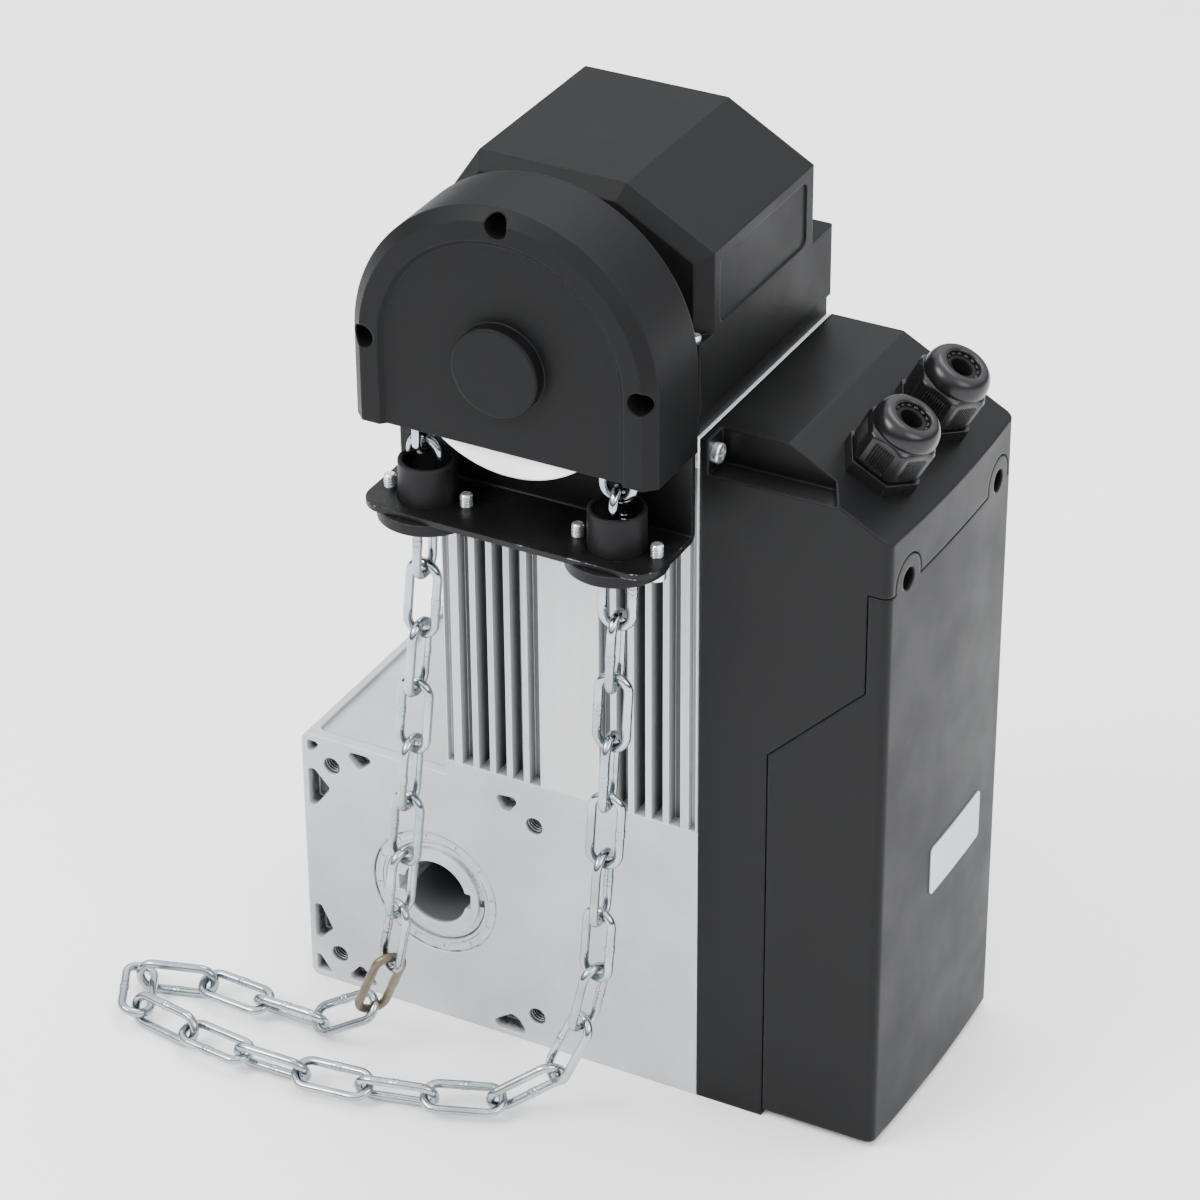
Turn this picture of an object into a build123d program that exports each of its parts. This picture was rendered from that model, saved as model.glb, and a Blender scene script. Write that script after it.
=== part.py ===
from build123d import *
import os
from math import acos, atan, atan2, cos, degrees, pi, radians, sin, sqrt, tan

os.makedirs("parts", exist_ok=True)

# Industrial door operator: worm gearmotor with a hand chain and a control box.
# Origin: centre of the hollow shaft on the front mounting face.
# +X towards the control box, +Y into the machine, +Z up.

# Running fits and small gaps
run_gap = 0.05
thread_gap = 0.05
part_gap = 0.3
slide_gap = 0.1

# Output shaft and mounting flange
bore_d = 25.4
keyway_w = 6.35
keyway_depth = 1.9
shaft_d = 35.0
wheel_seat_d = 42.0
flange_pcd = 115.0
tapped_core_d = 6.8
tapped_depth = 18.0
seal_d = 50.0
seal_pocket = 8.0
seal_mouth_d = 40.2
seal_mouth_depth = 3.0
ring_groove_d = 32.8
ring_d = 38.8
ring_t = 1.5
ring_inset = 1.2
ring_opening = 3.0

# Gear case
case_reach = 52.7
case_depth = 97.0
case_wall = 4.7
front_wall = 9.0
low_top = 51.7
motor_seat = 58.0
rear_cover_t = 9.0
tray_rim = 4.5
tray_depth = 2.0
case_corner_r = 3.0
pocket_depth = 6.5
case_screw_core_d = 4.2
case_column_d = 10.0

# Worm gearing
worm_module = 2.2
wheel_teeth = 40
worm_pitch_d = 22.0
wheel_face = 18.0
wheel_tip_trim = 0.2
wheel_hub_d = 58.0
wheel_hub_l = 27.0
wheel_web_recess = 4.0
wheel_rim_t = 5.0
worm_turns = 7
pressure_angle = 20.0
worm_backlash = 0.3
wheel_backlash = 0.1
key_w = 12.0
key_l = 17.0
key_below = 4.0
key_above = 3.3

# Ball bearings: bore, outer diameter, width
output_bearing = (35.0, 62.0, 14.0)
worm_low_bearing = (15.0, 32.0, 9.0)
worm_high_bearing = (20.0, 42.0, 12.0)
motor_top_bearing = (17.0, 35.0, 10.0)
balls = 9

# Motor
motor_width = 97.6
motor_length = 141.0
motor_bore_d = 86.0
slot_pitch = 6.6
slot_w = 4.4
slot_count = 5
first_slot = 13.6
slot_depth_max = 9.0
slot_wall = 3.0
corner_slot_w = 2.6
corner_depths = {4: 5.0, 5: 3.0}
motor_corner_r = 1.2
stator_length = 80.0
stator_bore_d = 50.8
winding_slots = 24
winding_slot_w = 3.4
winding_slot_depth = 11.0
winding_height = 17.0
winding_wall = 2.0
air_gap = 0.4
rotor_ring_t = 5.0
brake_shaft_d = 12.0
shield_t = 11.0
tie_bolt_offset = 35.0
tie_bolt_d = 5.0
tie_bolt_bite = 8.0

# Motor brake
brake_d = 68.0
brake_hole_d = 24.0
coil_t = 9.0
brake_air = 0.5
armature_t = 2.5
disc_t = 3.5
disc_d = 56.0
plate_t = 2.5
brake_bolt_r = 30.5
brake_bolt_d = 4.0
brake_spring_r = 25.5
brake_spring_d = 5.2
brake_spring_wire = 0.9
brake_spring_pocket = 6.5
brake_pinch = 0.1

# Hand drive
hand_axis_above_shield = 33.5
bevel_module = 1.25
bevel_teeth = 20
bevel_face = 5.0
bevel_backlash = 0.3
bevel_hub_d = 20.0
bevel_hub_l = 6.0
hand_shaft_d = 12.0
bush_wall = 2.0
bush_length = 8.0
tube_wall = 2.0
tube_length = 24.0
clutch_block_t = 13.0
clutch_block_d = 56.0
clutch_foot_w = 60.0
clutch_foot_drop = 9.0
clutch_foot_screw_offset = 20.0
clutch_room_d = 31.0
clutch_room_depth = 9.0
sleeve_nose_d = 27.6
sleeve_cone = 0.5
sleeve_cone_l = 3.8
sleeve_l = 17.0
clutch_travel = 2.0
cone_gap = 0.2
clutch_key_w = 4.0
clutch_key_proud = 2.0

# Chain and chain wheel
chain_plane = -30.0
chain_wire = 3.2
link_length = 31.0
link_width = 13.5
wheel_step_angle = 40.0
links_on_wheel = 4
chain_wheel_d = 82.0
chain_wheel_w = 17.6
wheel_groove_w = 14.3
wheel_slot_w = 4.4
chain_clear = 0.7
wheel_spokes = 6
spoke_hole_d = 5.0
spoke_hole_ring_d = 38.0

# Chain cover
cover_d = 109.0
cover_wall = 2.2
cover_front = -43.5
cover_back = -13.0
cover_drop = 30.5
cover_chamfer = 4.0
panel_d = 88.0
panel_recess = 1.8
cover_boss_d = 31.0
cover_boss_proud = 5.0
cover_screw_ring_d = 98.8
cover_screw_hole_d = 8.0
cover_screw_recess = 14.0
cover_post_d = 9.0

# Bracket and chain guides
sheet_t = 2.0
shelf_drop = 61.0
shelf_front = -44.5
shelf_half_w = 53.7
shelf_corner_r = 9.0
bend_r = 3.0
bracket_hole_d = 34.0
guide_offset = 34.7
guide_tube_d = 19.5
guide_bore_d = 16.2
guide_rise = 14.0
guide_flange_d = 34.0
guide_flange_t = 4.0
guide_screw_offset = 14.25
guide_screw_proud = 4.4

# Motor hood
hood_wall = 2.5
hood_base_h = 7.8
hood_base_inset = 1.2
hood_skirt_top = 33.5
hood_top = 79.5
hood_front = 4.5
hood_back = 81.0
hood_bevel = 5.0
hood_flat_left = 13.3
hood_flat_right = 66.3
hood_left_fall = 20.0
hood_right_fall = 17.6
hood_panel_depth = 0.6

# Control box
box_gap = 0.2
box_width = 69.0
box_wall = 2.8
box_ridge = 26.5
box_top_drop = 22.8
box_crown = 1.5
box_corner_r = 3.0
lid_lift = 3.0
seam_gap = 0.6
seam_top = 168.5
seam_edge_x = 163.7
seam_knee_z = 131.3
seam_low_x = 129.1
seam_low_z = 97.1
ear_d = 17.0
ear_z = 170.0
ear_inset = 13.0
ear_hole_d = 8.0
post_d = 11.0
post_end_x = 158.0
scoop_depth = 10.0
scoop_height = 12.5
scoop_end_x = 153.0
gland_spacing = 39.0
gland_hex = 24.0
gland_hex_h = 5.0
gland_cap_d = 23.0
gland_cap_h = 13.0
gland_dome_h = 7.0
gland_thread_d = 20.0
gland_bore_d = 15.0
gland_mouth_d = 12.0
gland_seal_bore_d = 8.0
gland_tail = 10.0
gland_nut_t = 4.0
board_t = 1.6
board_stand = 5.2

# Screws: diameter, head diameter, head height
m3 = (3.0, 4.2, 2.0)
m4 = (4.0, 7.0, 2.6)
m5 = (5.0, 8.5, 4.0)

# Sizes that follow
centre_distance = (wheel_teeth * worm_module + worm_pitch_d) / 2
worm_lead = pi * worm_module
motor_x = centre_distance
motor_y = case_depth / 2
motor_left = motor_x - motor_width / 2
motor_right = motor_x + motor_width / 2
motor_front = motor_y - case_depth / 2
motor_top = motor_seat + motor_length
shield_top = motor_top + shield_t
hand_z = shield_top + hand_axis_above_shield
wheel_y = case_depth / 2
flange_offset = flange_pcd / 2 * sin(radians(45))
case_back = case_depth - rear_cover_t
cavity_reach = case_reach - case_wall
wheel_tip_r = wheel_teeth * worm_module / 2 + worm_module - wheel_tip_trim
cavity_top = wheel_tip_r + 0.6
worm_root_r = worm_pitch_d / 2 - 1.25 * worm_module
worm_tip_r = worm_pitch_d / 2 + worm_module
worm_thread_l = worm_turns * worm_lead
front_bearing_y = seal_pocket
rear_bearing_y = case_depth - seal_pocket - output_bearing[2]
bearing_boss_d = output_bearing[1] + 12.0
worm_low_z = -cavity_reach + 1.0
worm_high_z = motor_seat - worm_high_bearing[2]
motor_top_z = shield_top - motor_top_bearing[2]
stator_z = motor_seat + (motor_length - stator_length) / 2 - 3.5
rotor_r = stator_bore_d / 2 - air_gap
coil_z = shield_top
armature_z = coil_z + coil_t + brake_air
disc_z = armature_z + armature_t + brake_pinch
brake_plate_z = disc_z + disc_t + brake_pinch
shaft_top_z = hand_z + bevel_module * bevel_teeth / 2 + bevel_hub_l + 2.0
wheel_front = chain_plane - chain_wheel_w / 2
wheel_back = chain_plane + chain_wheel_w / 2
plate_back = cover_back
plate_front = plate_back - sheet_t
shelf_top = hand_z - shelf_drop
cover_bottom = hand_z - cover_drop
box_left = motor_right + box_gap
box_right = box_left + box_width
box_ridge_x = box_left + box_ridge
box_shoulder_z = shield_top - box_top_drop
slope_angle = degrees(atan2(box_top_drop, box_right - box_ridge_x))
shaft_hole_r = hand_shaft_d / 2 + run_gap

# Planes: fronts(y) faces the viewer at depth y, with local x = X and local y = Z
def fronts(y):
    return Plane(origin=(0, y, 0), x_dir=(1, 0, 0), z_dir=(0, -1, 0))


def depths(y):
    return Plane(origin=(0, y, 0), x_dir=(-1, 0, 0), z_dir=(0, 1, 0))


def rights(x):
    return Plane(origin=(x, 0, 0), x_dir=(0, 1, 0), z_dir=(1, 0, 0))


def involute(angle):
    return tan(angle) - angle


def half_tooth(radius, pitch_r, base_r, pitch_half):
    """Half thickness of an involute tooth, measured along the arc at a radius."""
    flank = acos(min(1.0, base_r / radius))
    turn = pitch_half / pitch_r + involute(radians(pressure_angle)) - involute(flank)
    return turn * radius


def gear_outline(teeth, levels, first):
    """Points round a gear; levels are (radius, half thickness) from root to tip."""
    points = []
    for tooth in range(teeth):
        middle = radians(first + 360.0 * tooth / teeth)
        left = [(r, middle - half / r) for r, half in levels]
        right = [(r, middle + half / r) for r, half in reversed(levels)]
        points += [(r * cos(a), r * sin(a)) for r, a in left + right]
    return points


def ball_bearing(sizes, plane):
    """Two groups of solids: the outer ring with its balls, and the inner ring."""
    bore, outer, width = sizes
    middle = (bore + outer) / 4
    ball_r = (outer - bore) * 0.14
    shoulder = ball_r * 0.45
    edge = width * 0.05
    with BuildPart(plane) as outer_ring:
        Cylinder(outer / 2, width, align=(Align.CENTER, Align.CENTER, Align.MIN))
        Cylinder(middle + shoulder, width, align=(Align.CENTER, Align.CENTER, Align.MIN),
                 mode=Mode.SUBTRACT)
        chamfer(outer_ring.edges().filter_by(GeomType.CIRCLE).sort_by(SortBy.RADIUS)[-2:], edge)
        with Locations((0, 0, width / 2)):
            Torus(middle, ball_r + run_gap, mode=Mode.SUBTRACT)
    with BuildPart(plane) as inner_ring:
        Cylinder(middle - shoulder, width, align=(Align.CENTER, Align.CENTER, Align.MIN))
        Cylinder(bore / 2, width, align=(Align.CENTER, Align.CENTER, Align.MIN),
                 mode=Mode.SUBTRACT)
        with Locations((0, 0, width / 2)):
            Torus(middle, ball_r + run_gap, mode=Mode.SUBTRACT)
    with BuildPart(plane) as ball_set:
        with Locations((0, 0, width / 2)):
            with PolarLocations(middle, balls):
                Sphere(ball_r)
    return outer_ring.part, inner_ring.part, ball_set.part


def screw(plane, sizes, length, socket=True):
    """A screw whose head seats on the plane, with its shank going against the normal."""
    shank_d, head_d, head_h = sizes
    with BuildPart(plane) as made:
        Cylinder(head_d / 2, head_h, align=(Align.CENTER, Align.CENTER, Align.MIN))
        fillet(made.edges().group_by(Axis((0, 0, 0), plane.z_dir))[-1], head_h * 0.3)
        Cylinder(shank_d / 2, length, align=(Align.CENTER, Align.CENTER, Align.MAX))
        chamfer(made.edges().group_by(Axis((0, 0, 0), plane.z_dir))[0], shank_d * 0.12)
        if socket:
            with BuildSketch(plane.offset(head_h)):
                RegularPolygon(shank_d * 0.4, 6)
            extrude(amount=-head_h * 0.55, mode=Mode.SUBTRACT)
        else:
            with BuildSketch(plane.offset(head_h)):
                Rectangle(head_d * 0.6, head_d * 0.14)
                Rectangle(head_d * 0.14, head_d * 0.6)
            extrude(amount=-head_h * 0.5, mode=Mode.SUBTRACT)
    return made.part


# Gear case
rear_screw_spots = [(-45.0, -45.0), (-45.0, 44.0), (30.0, -43.5), (30.0, 42.0), (96.0, -45.0),
                    (96.0, 44.0)]
tapped_spots = [(sx * flange_offset, sz * flange_offset) for sx in (-1, 1) for sz in (-1, 1)]
tie_bolt_spots = [(motor_x + sx * tie_bolt_offset, motor_y + sy * tie_bolt_offset)
                  for sx in (-1, 1) for sy in (-1, 1)]
box_screw_spots = [(30.0, -38.0), (67.0, -38.0), (77.0, 38.0)]
casting_pockets = [
    (1.3, [(-50.6, 49.3), (-44.2, 49.0), (-50.5, 42.9)]),
    (1.8, [(-35.6, 49.0), (-21.5, 49.0), (-29.6, 42.0)]),
    (1.6, [(-50.6, 37.4), (-47.8, 37.4), (-41.4, 30.8), (-50.6, 18.4)]),
    (1.9, [(24.5, 49.5), (36.0, 50.5), (31.0, 43.8), (28.2, 43.6)]),
    (1.3, [(-50.6, -21.2), (-47.6, -21.0), (-42.8, -30.5), (-48.6, -36.4), (-50.6, -35.6)]),
    (1.0, [(-50.6, -43.4), (-48.8, -43.4), (-43.6, -50.4), (-50.6, -50.6)]),
    (1.8, [(-38.8, -50.6), (-31.9, -42.6), (-22.6, -50.6)]),
    (2.0, [(18.6, -50.6), (30.4, -42.8), (33.4, -44.4), (37.4, -50.6)]),
]

with BuildPart() as gearbox_housing:
    with BuildSketch(fronts(0)):
        with BuildLine():
            Polyline((-case_reach, -case_reach), (motor_right, -case_reach),
                     (motor_right, motor_seat), (motor_left, motor_seat), (motor_left, low_top),
                     (-case_reach, low_top), close=True)
        make_face()
    extrude(amount=-case_back)
    outer_edges = gearbox_housing.edges().filter_by(Axis.Y)
    fillet(outer_edges.sort_by(Axis.X)[:2], case_corner_r)
    # Oil room, open to the rear
    with BuildSketch(fronts(front_wall)):
        with BuildLine():
            Polyline((-cavity_reach, -cavity_reach), (motor_right - case_wall, -cavity_reach),
                     (motor_right - case_wall, cavity_top), (-cavity_reach, cavity_top), close=True)
        make_face()
    extrude(amount=-case_depth, mode=Mode.SUBTRACT)
    # Bosses for the front bearing, the tapped holes and the cover screws
    with BuildSketch(fronts(front_wall)):
        Circle(bearing_boss_d / 2)
    extrude(amount=-(front_bearing_y + output_bearing[2] - front_wall))
    with BuildSketch(fronts(front_wall)):
        with Locations(*tapped_spots):
            Circle(tapped_core_d / 2 + 4.5)
    extrude(amount=-(tapped_depth + 3.0 - front_wall))
    with BuildSketch(fronts(front_wall)):
        with Locations(*rear_screw_spots):
            Circle(case_column_d / 2)
    extrude(amount=-(case_back - front_wall))
    # Worm bearing seats
    with BuildSketch(Plane.XY.offset(-cavity_reach)):
        with Locations((motor_x, motor_y)):
            Circle(worm_low_bearing[1] / 2 + 4.0)
    extrude(amount=worm_low_z + worm_low_bearing[2] + cavity_reach)
    with BuildSketch(Plane.XY.offset(cavity_top)):
        with Locations((motor_x, motor_y)):
            Circle(worm_high_bearing[1] / 2 + 4.0)
    extrude(amount=-(cavity_top - worm_high_z + 2.0))
    with BuildSketch(Plane.XY.offset(motor_seat)):
        with Locations((motor_x, motor_y)):
            Circle(worm_high_bearing[1] / 2)
    extrude(amount=-worm_high_bearing[2], mode=Mode.SUBTRACT)
    with BuildSketch(Plane.XY.offset(motor_seat)):
        with Locations((motor_x, motor_y)):
            Circle(worm_tip_r + 1.5)
    extrude(amount=-(motor_seat - worm_high_z + 3.0), mode=Mode.SUBTRACT)
    with BuildSketch(Plane.XY.offset(worm_low_z)):
        with Locations((motor_x, motor_y)):
            Circle(worm_low_bearing[1] / 2)
    extrude(amount=worm_low_bearing[2], mode=Mode.SUBTRACT)
    # Front bearing and seal seats
    with BuildSketch(fronts(front_bearing_y)):
        Circle(output_bearing[1] / 2)
    extrude(amount=-case_depth / 4, mode=Mode.SUBTRACT)
    with BuildSketch(fronts(0)):
        Circle(seal_d / 2)
    extrude(amount=-case_depth / 4, mode=Mode.SUBTRACT)
    # Tapped flange holes
    with BuildSketch(fronts(0)):
        with Locations(*tapped_spots):
            Circle(tapped_core_d / 2)
    extrude(amount=-tapped_depth, mode=Mode.SUBTRACT)
    # Lightening pockets round the tapped holes
    for corner_r, outline in casting_pockets:
        with BuildSketch(fronts(0)) as pocket:
            with BuildLine():
                Polyline(*outline, close=True)
            make_face()
            fillet(pocket.vertices(), corner_r)
        extrude(amount=-pocket_depth, taper=4, mode=Mode.SUBTRACT)
    # Shallow tray on the low top
    with BuildSketch(Plane.XY.offset(low_top)) as tray:
        with BuildLine():
            Polyline((-case_reach + tray_rim, tray_rim), (motor_left, tray_rim),
                     (motor_left, case_depth - tray_rim), (-case_reach + tray_rim, case_depth - tray_rim),
                     close=True)
        make_face()
        fillet(tray.vertices().group_by(Axis.X)[0], 2.0)
    extrude(amount=-tray_depth, mode=Mode.SUBTRACT)
    # Screw holes: rear cover, motor tie bolts, control box
    with BuildSketch(fronts(case_back)):
        with Locations(*rear_screw_spots):
            Circle(case_screw_core_d / 2 + thread_gap)
    extrude(amount=14.0, mode=Mode.SUBTRACT)
    with BuildSketch(Plane.XY.offset(motor_seat)):
        with Locations(*tie_bolt_spots):
            Circle(tie_bolt_d / 2 + thread_gap)
    extrude(amount=-tie_bolt_bite - 1.0, mode=Mode.SUBTRACT)
    with BuildSketch(rights(motor_right)):
        with Locations(*box_screw_spots):
            Circle(m4[0] / 2 + thread_gap)
    extrude(amount=-case_wall - 1.0, mode=Mode.SUBTRACT)
gearbox_housing.part.label = "gearbox_housing"
export_step(gearbox_housing.part, "parts/gearbox_housing.step")

with BuildPart() as rear_cover:
    with BuildSketch(fronts(case_back)):
        with BuildLine():
            Polyline((-case_reach, -case_reach), (motor_right, -case_reach),
                     (motor_right, motor_seat), (motor_left, motor_seat), (motor_left, low_top),
                     (-case_reach, low_top), close=True)
        make_face()
    extrude(amount=-rear_cover_t)
    cover_edges = rear_cover.edges().filter_by(Axis.Y)
    fillet(cover_edges.sort_by(Axis.X)[:2], case_corner_r)
    with BuildSketch(fronts(case_back)):
        Circle(bearing_boss_d / 2)
    extrude(amount=case_back - rear_bearing_y)
    with BuildSketch(fronts(rear_bearing_y)):
        Circle(output_bearing[1] / 2)
    extrude(amount=-output_bearing[2], mode=Mode.SUBTRACT)
    with BuildSketch(fronts(rear_bearing_y)):
        Circle(seal_d / 2)
    extrude(amount=-case_depth, mode=Mode.SUBTRACT)
    with BuildSketch(fronts(case_depth)):
        with Locations(*rear_screw_spots):
            Circle(m5[0] / 2 + slide_gap)
    extrude(amount=rear_cover_t, mode=Mode.SUBTRACT)
    with BuildSketch(fronts(case_depth)):
        with Locations(*rear_screw_spots):
            Circle(m5[1] / 2 + slide_gap)
    extrude(amount=m5[2] + 0.5, mode=Mode.SUBTRACT)
    with BuildSketch(Plane.XY.offset(low_top)):
        with Locations(((-case_reach + tray_rim + motor_left) / 2, case_back - 5.0)):
            Rectangle(motor_left + case_reach - tray_rim, 2 * (5.0 + rear_cover_t - tray_rim))
    extrude(amount=-tray_depth, mode=Mode.SUBTRACT)
rear_cover.part.label = "rear_cover"
export_step(rear_cover.part, "parts/rear_cover.step")

with BuildPart() as rear_cover_screws:
    for spot_x, spot_z in rear_screw_spots:
        seat = Plane(origin=(spot_x, case_depth - m5[2] - 0.5, spot_z), x_dir=(1, 0, 0),
                     z_dir=(0, 1, 0))
        add(screw(seat, (case_screw_core_d, m5[1], m5[2]), rear_cover_t + 6.0))
rear_cover_screws.part.label = "rear_cover_screws"
export_step(rear_cover_screws.part, "parts/rear_cover_screws.step")

# Hollow output shaft and worm wheel
with BuildPart() as hollow_shaft:
    with BuildSketch(fronts(0)):
        Circle(shaft_d / 2)
    extrude(amount=-case_depth)
    with BuildSketch(fronts(front_bearing_y + output_bearing[2])):
        Circle(wheel_seat_d / 2)
    extrude(amount=-(rear_bearing_y - front_bearing_y - output_bearing[2]))
    with BuildSketch(fronts(0)):
        Circle(bore_d / 2)
    extrude(amount=-case_depth, mode=Mode.SUBTRACT)
    with BuildSketch(fronts(0)):
        Rectangle(bore_d + 2 * keyway_depth, keyway_w)
    extrude(amount=-case_depth, mode=Mode.SUBTRACT)
    for groove_y in (ring_inset, case_depth - ring_inset - ring_t):
        with BuildSketch(fronts(groove_y)):
            Circle(shaft_d / 2)
            Circle(ring_groove_d / 2, mode=Mode.SUBTRACT)
        extrude(amount=-ring_t, mode=Mode.SUBTRACT)
    with BuildSketch(fronts(wheel_y - key_l / 2)):
        with Locations((0, wheel_seat_d / 2)):
            Rectangle(key_w, 2 * key_below)
    extrude(amount=-key_l, mode=Mode.SUBTRACT)
hollow_shaft.part.label = "hollow_shaft"
export_step(hollow_shaft.part, "parts/hollow_shaft.step")

wheel_pitch_r = wheel_teeth * worm_module / 2
wheel_base_r = wheel_pitch_r * cos(radians(pressure_angle))
wheel_root_r = max(wheel_pitch_r - 1.2 * worm_module, wheel_base_r)
wheel_pitch_half = (worm_lead / 2 - wheel_backlash) / 2
wheel_levels = [(r, half_tooth(r, wheel_pitch_r, wheel_base_r, wheel_pitch_half))
                for r in (wheel_root_r, wheel_pitch_r, wheel_tip_r)]
wheel_twist = degrees(worm_lead / (pi * worm_pitch_d) * wheel_face / 2 / wheel_pitch_r)
tooth_step = 360.0 / wheel_teeth

with BuildPart() as worm_wheel:
    with BuildSketch(fronts(wheel_y - wheel_face / 2)):
        with BuildLine():
            Polyline(*gear_outline(wheel_teeth, wheel_levels, tooth_step / 2 + wheel_twist),
                     close=True)
        make_face()
    with BuildSketch(fronts(wheel_y + wheel_face / 2)):
        with BuildLine():
            Polyline(*gear_outline(wheel_teeth, wheel_levels, tooth_step / 2 - wheel_twist),
                     close=True)
        make_face()
    loft(ruled=True)
    for side in (-1, 1):
        with BuildSketch(fronts(wheel_y + side * wheel_face / 2)):
            Circle(wheel_root_r - wheel_rim_t)
            Circle(wheel_hub_d / 2, mode=Mode.SUBTRACT)
        extrude(amount=side * wheel_web_recess, mode=Mode.SUBTRACT)
    with BuildSketch(fronts(wheel_y - wheel_hub_l / 2)):
        Circle(wheel_hub_d / 2)
    extrude(amount=-wheel_hub_l)
    with BuildSketch(fronts(wheel_y - wheel_hub_l / 2)):
        Circle(wheel_seat_d / 2)
    extrude(amount=-wheel_hub_l, mode=Mode.SUBTRACT)
    with BuildSketch(fronts(wheel_y - wheel_hub_l / 2)):
        with Locations((0, wheel_seat_d / 2)):
            Rectangle(key_w, 2 * key_above)
    extrude(amount=-wheel_hub_l, mode=Mode.SUBTRACT)
worm_wheel.part.label = "worm_wheel"
export_step(worm_wheel.part, "parts/worm_wheel.step")

with BuildPart() as wheel_key:
    with BuildSketch(fronts(wheel_y - key_l / 2)):
        with Locations((0, wheel_seat_d / 2 + (key_above - key_below) / 2)):
            Rectangle(key_w, key_above + key_below)
    extrude(amount=-key_l)
wheel_key.part.label = "wheel_key"
export_step(wheel_key.part, "parts/wheel_key.step")

front_set = ball_bearing(output_bearing, depths(front_bearing_y))
rear_set = ball_bearing(output_bearing, depths(rear_bearing_y))
with BuildPart() as output_bearings:
    for outer_ring, inner_ring, ball_set in (front_set, rear_set):
        add(outer_ring)
        add(ball_set)
output_bearings.part.label = "output_bearings"
export_step(output_bearings.part, "parts/output_bearings.step")

with BuildPart() as output_inner_rings:
    for outer_ring, inner_ring, ball_set in (front_set, rear_set):
        add(inner_ring)
output_inner_rings.part.label = "output_inner_rings"
export_step(output_inner_rings.part, "parts/output_inner_rings.step")


def shaft_seal(plane):
    """Lip seal whose open mouth lies on the plane, with its body going along the normal."""
    with BuildPart(plane) as made:
        depth = seal_pocket - 0.8
        with Locations((0, 0, 0.5)):
            Cylinder(seal_d / 2, depth, align=(Align.CENTER, Align.CENTER, Align.MIN))
            Cylinder(shaft_d / 2 + run_gap, depth, align=(Align.CENTER, Align.CENTER, Align.MIN),
                     mode=Mode.SUBTRACT)
            Cylinder(seal_mouth_d / 2, seal_mouth_depth,
                     align=(Align.CENTER, Align.CENTER, Align.MIN), mode=Mode.SUBTRACT)
    return made.part


with BuildPart() as shaft_seals:
    add(shaft_seal(depths(0)))
    add(shaft_seal(fronts(case_depth)))
shaft_seals.part.label = "shaft_seals"
export_step(shaft_seals.part, "parts/shaft_seals.step")

with BuildPart() as retaining_rings:
    for ring_y in (ring_inset, case_depth - ring_inset - ring_t):
        with BuildSketch(fronts(ring_y)):
            Circle(ring_d / 2)
            Circle(ring_groove_d / 2, mode=Mode.SUBTRACT)
            with Locations((ring_d / 2, 0)):
                Rectangle(ring_d - ring_groove_d + 2.0, ring_opening, mode=Mode.SUBTRACT)
        extrude(amount=-ring_t)
retaining_rings.part.label = "retaining_rings"
export_step(retaining_rings.part, "parts/retaining_rings.step")

# Worm on the motor shaft
thread_start = -worm_thread_l / 2
thread_half = (worm_lead / 2 - worm_backlash) / 2
flank = tan(radians(pressure_angle))
root_reach = worm_root_r - 0.4

with BuildPart() as worm_shaft:
    with BuildLine() as thread_line:
        Helix(worm_lead, worm_thread_l, worm_root_r, center=(motor_x, motor_y, thread_start))
    with BuildSketch(Plane(origin=(motor_x, motor_y, thread_start), x_dir=(1, 0, 0),
                           z_dir=(0, -1, 0))):
        with BuildLine():
            half_root = thread_half + (worm_pitch_d / 2 - root_reach) * flank
            half_tip = thread_half - worm_module * flank
            Polyline((root_reach, -half_root), (worm_tip_r, -half_tip), (worm_tip_r, half_tip),
                     (root_reach, half_root), close=True)
        make_face()
    sweep(path=thread_line.line, is_frenet=True)
    for low, high, radius in (
            (worm_low_z, worm_low_z + worm_low_bearing[2], worm_low_bearing[0] / 2),
            (worm_low_z + worm_low_bearing[2], worm_high_z, worm_root_r),
            (worm_high_z, motor_top_z - 8.0, worm_high_bearing[0] / 2),
            (motor_top_z - 8.0, shield_top, motor_top_bearing[0] / 2),
            (shield_top, shaft_top_z, brake_shaft_d / 2)):
        with BuildSketch(Plane.XY.offset(low)):
            with Locations((motor_x, motor_y)):
                Circle(radius)
        extrude(amount=high - low)
worm_shaft.part.label = "worm_shaft"
export_step(worm_shaft.part, "parts/worm_shaft.step")

motor_bearing_sets = []
for sizes, low in ((worm_low_bearing, worm_low_z), (worm_high_bearing, worm_high_z),
                   (motor_top_bearing, motor_top_z)):
    motor_bearing_sets.append(
        ball_bearing(sizes, Plane(origin=(motor_x, motor_y, low), z_dir=(0, 0, 1))))

with BuildPart() as motor_bearings:
    for outer_ring, inner_ring, ball_set in motor_bearing_sets:
        add(outer_ring)
        add(ball_set)
motor_bearings.part.label = "motor_bearings"
export_step(motor_bearings.part, "parts/motor_bearings.step")

with BuildPart() as motor_inner_rings:
    for outer_ring, inner_ring, ball_set in motor_bearing_sets:
        add(inner_ring)
motor_inner_rings.part.label = "motor_inner_rings"
export_step(motor_inner_rings.part, "parts/motor_inner_rings.step")

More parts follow.
